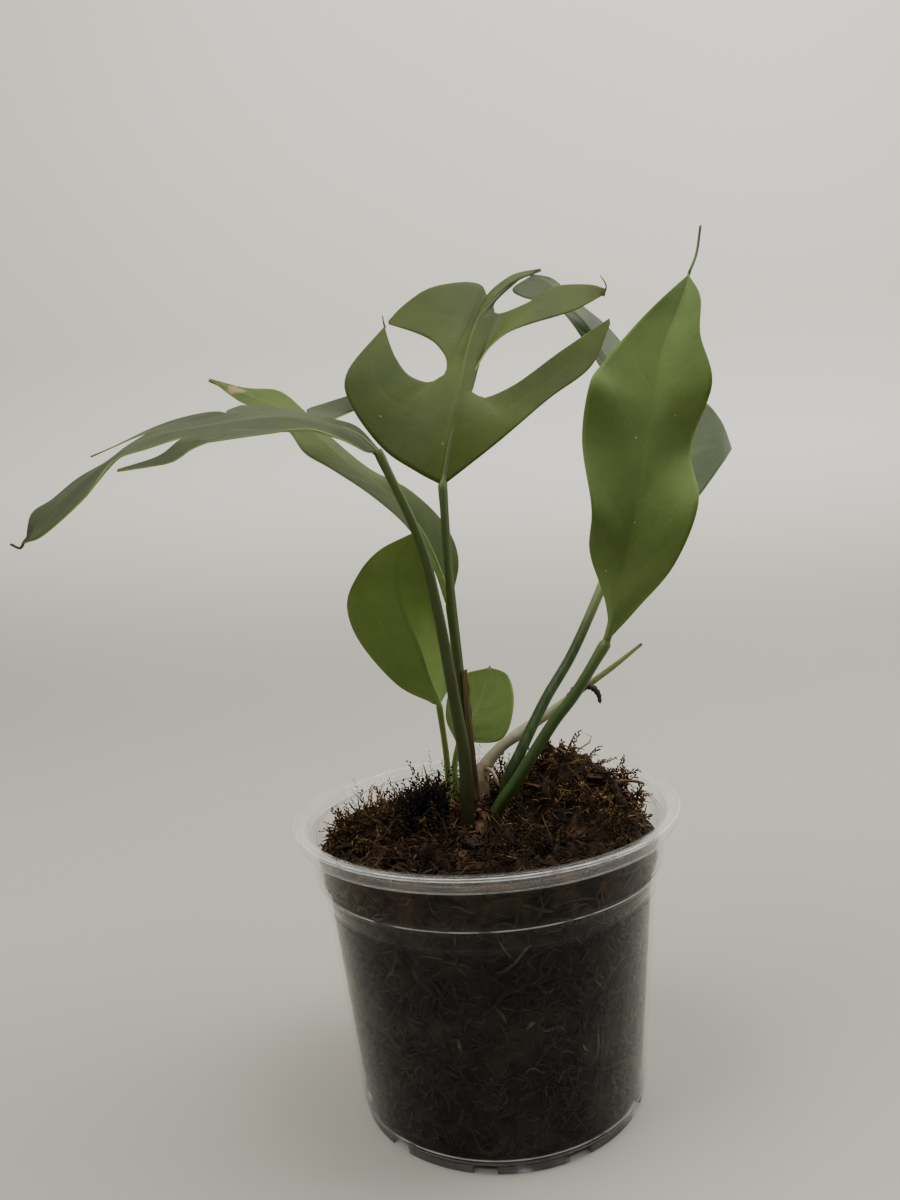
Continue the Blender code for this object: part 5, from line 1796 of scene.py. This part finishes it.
def sweep():
    """(x, y, z): flat to the bend, a quarter circle of radius SWEEP_BEND, then straight up."""
    turn = np.linspace(0, math.pi / 2, BEND_ROWS)
    flat = np.linspace(SWEEP_FRONT, SWEEP_BACK, FLOOR_ROWS)
    y = np.concatenate([flat, SWEEP_BACK + SWEEP_BEND * np.sin(turn)])
    z = np.concatenate([np.zeros(FLOOR_ROWS), SWEEP_BEND * (1 - np.cos(turn))])
    y = np.append(y, y[-1])
    z = np.append(z, SWEEP_TOP)
    x = np.linspace(-SWEEP_HALF, SWEEP_HALF, SWEEP_COLUMNS)
    grid = np.stack(np.broadcast_arrays(x[:, None], y[None], z[None]), axis=-1)
    plan = np.stack(np.broadcast_arrays(x[:, None] / 1000, np.linspace(0, 1, len(y))[None]), axis=-1)
    return grid, plan


def sweep_paint():
    paint = Paint("pale studio sweep")
    clouds = paint.noise(600, 2)
    wall = paint.mix(clouds, shade(212, 209, 198), shade(222, 219, 209))
    floor = paint.mix(clouds, shade(150, 147, 138), shade(160, 157, 148))
    colour = paint.mix(paint.step(paint.height(), 0, PALE_FROM_Z), floor, wall)
    fine = paint.noise(3, 3)
    return paint.finish(colour, 0.62 + fine * 0.1, paint.bump(fine, 0.05, 0.2))


studio_mesh = new_mesh("sweep", *stacked([sweep()]))
studio = bpy.data.objects.new("studio_sweep", studio_mesh)
bpy.context.scene.collection.objects.link(studio)
studio_mesh.materials.append(sweep_paint())
if studio_mesh.polygons[0].normal.z < 0:
    studio_mesh.flip_normals()
print("sweep faces:", len(studio_mesh.polygons))

# %% [markdown]
# The light is a dull window's: one large soft source high on the left, a weaker fill from the right and
# a wash on the backdrop. The room itself is bright overhead and dim in front of the plant, which is what
# lets the eye look through the clear wall instead of at the room's reflection in it.

# %% Soft light
def area_light(name, place, target, size, watts, tint):
    """A square soft light that looks from place to target, in metres."""
    data = bpy.data.lights.new(name, "AREA")
    data.shape = "SQUARE"
    data.size = size
    data.energy = watts
    data.color = tint
    lamp = bpy.data.objects.new(name, data)
    bpy.context.scene.collection.objects.link(lamp)
    x, y, z = np.asarray(target, float) - np.asarray(place, float)
    lamp.location = place
    lamp.rotation_euler = (math.atan2(math.hypot(x, y), -z), 0, math.atan2(x, -y) + math.pi)


PLANT = (0, 0, 0.12)
BACKDROP = (0.25, 0.9, 0.45)
area_light("window", (-0.7, -0.25, 1.3), PLANT, 0.9, 18, (1.0, 0.98, 0.95))
area_light("fill", (1.0, 0.1, 0.7), PLANT, 0.7, 6, (0.97, 0.98, 1.0))
area_light("wall wash", (0.6, 0.2, 1.5), BACKDROP, 1.2, 26, (1.0, 0.985, 0.95))
print("lights:", len(bpy.data.lights))

# %% [markdown]
# The world's strength grows with up + 0.6 * backwards, from dim in front and below to bright overhead. It
# is the same kind of node tree as a material's, so the same class writes it.

# %% The room's own light
BEHIND_COUNTS = 0.6
ROOM_STRENGTH = {"From Min": -0.6, "From Max": 1.0, "To Min": 0.07, "To Max": 0.75}
room = Nodes(bpy.data.worlds.new("grey room"))
way = room.node("ShaderNodeTexCoord", out="Generated")
back = room.node("ShaderNodeSeparateXYZ", None, {0: way}, out="Y")
up = room.node("ShaderNodeSeparateXYZ", None, {0: way}, out="Z")
strength = room.node("ShaderNodeMapRange", None, {"Value": back * BEHIND_COUNTS + up, **ROOM_STRENGTH})
room_light = room.tree.nodes["Background"]
room.feed(room_light.inputs["Color"], (0.80, 0.81, 0.82))
room.feed(room_light.inputs["Strength"], strength)
bpy.context.scene.world = room.owner
print("nodes of the room's light:", len(room.tree.nodes))

# %% [markdown]
# The camera stands where the photograph was taken. Its place and tilt were worked out from the pot's own
# circles: their widths give the distance, how open they look gives the height, and the lean of their long
# axes gives the roll.

# %% Camera
CAMERA_PLACE = (0.0, -0.285868, 0.185194)
PITCH, YAW, ROLL = 0.10151355, -0.02190820, -0.07239726
LENS, SENSOR = 28.08, 36.0


def camera_axes():
    """Right, up and back of a camera that looks along +Y, turned by yaw, pitched down, then rolled."""
    ahead = np.array((math.sin(YAW) * math.cos(PITCH), math.cos(YAW) * math.cos(PITCH), -math.sin(PITCH)))
    right = np.array((math.cos(YAW), -math.sin(YAW), 0.0))
    up = np.cross(right, ahead)
    rolled_right = right * math.cos(ROLL) + up * math.sin(ROLL)
    rolled_up = -right * math.sin(ROLL) + up * math.cos(ROLL)
    return np.stack([rolled_right, rolled_up, -ahead], axis=1)


eye = bpy.data.cameras.new("photo view")
eye.sensor_fit = "VERTICAL"
eye.sensor_height = SENSOR
eye.lens = LENS
eye.clip_start = 0.01
camera = bpy.data.objects.new("photo view", eye)
bpy.context.scene.collection.objects.link(camera)
camera.matrix_world = Matrix.Translation(CAMERA_PLACE) @ Matrix(camera_axes().tolist()).to_4x4()
bpy.context.scene.camera = camera
print("camera looks", -np.array(camera_axes())[:, 2].round(3))
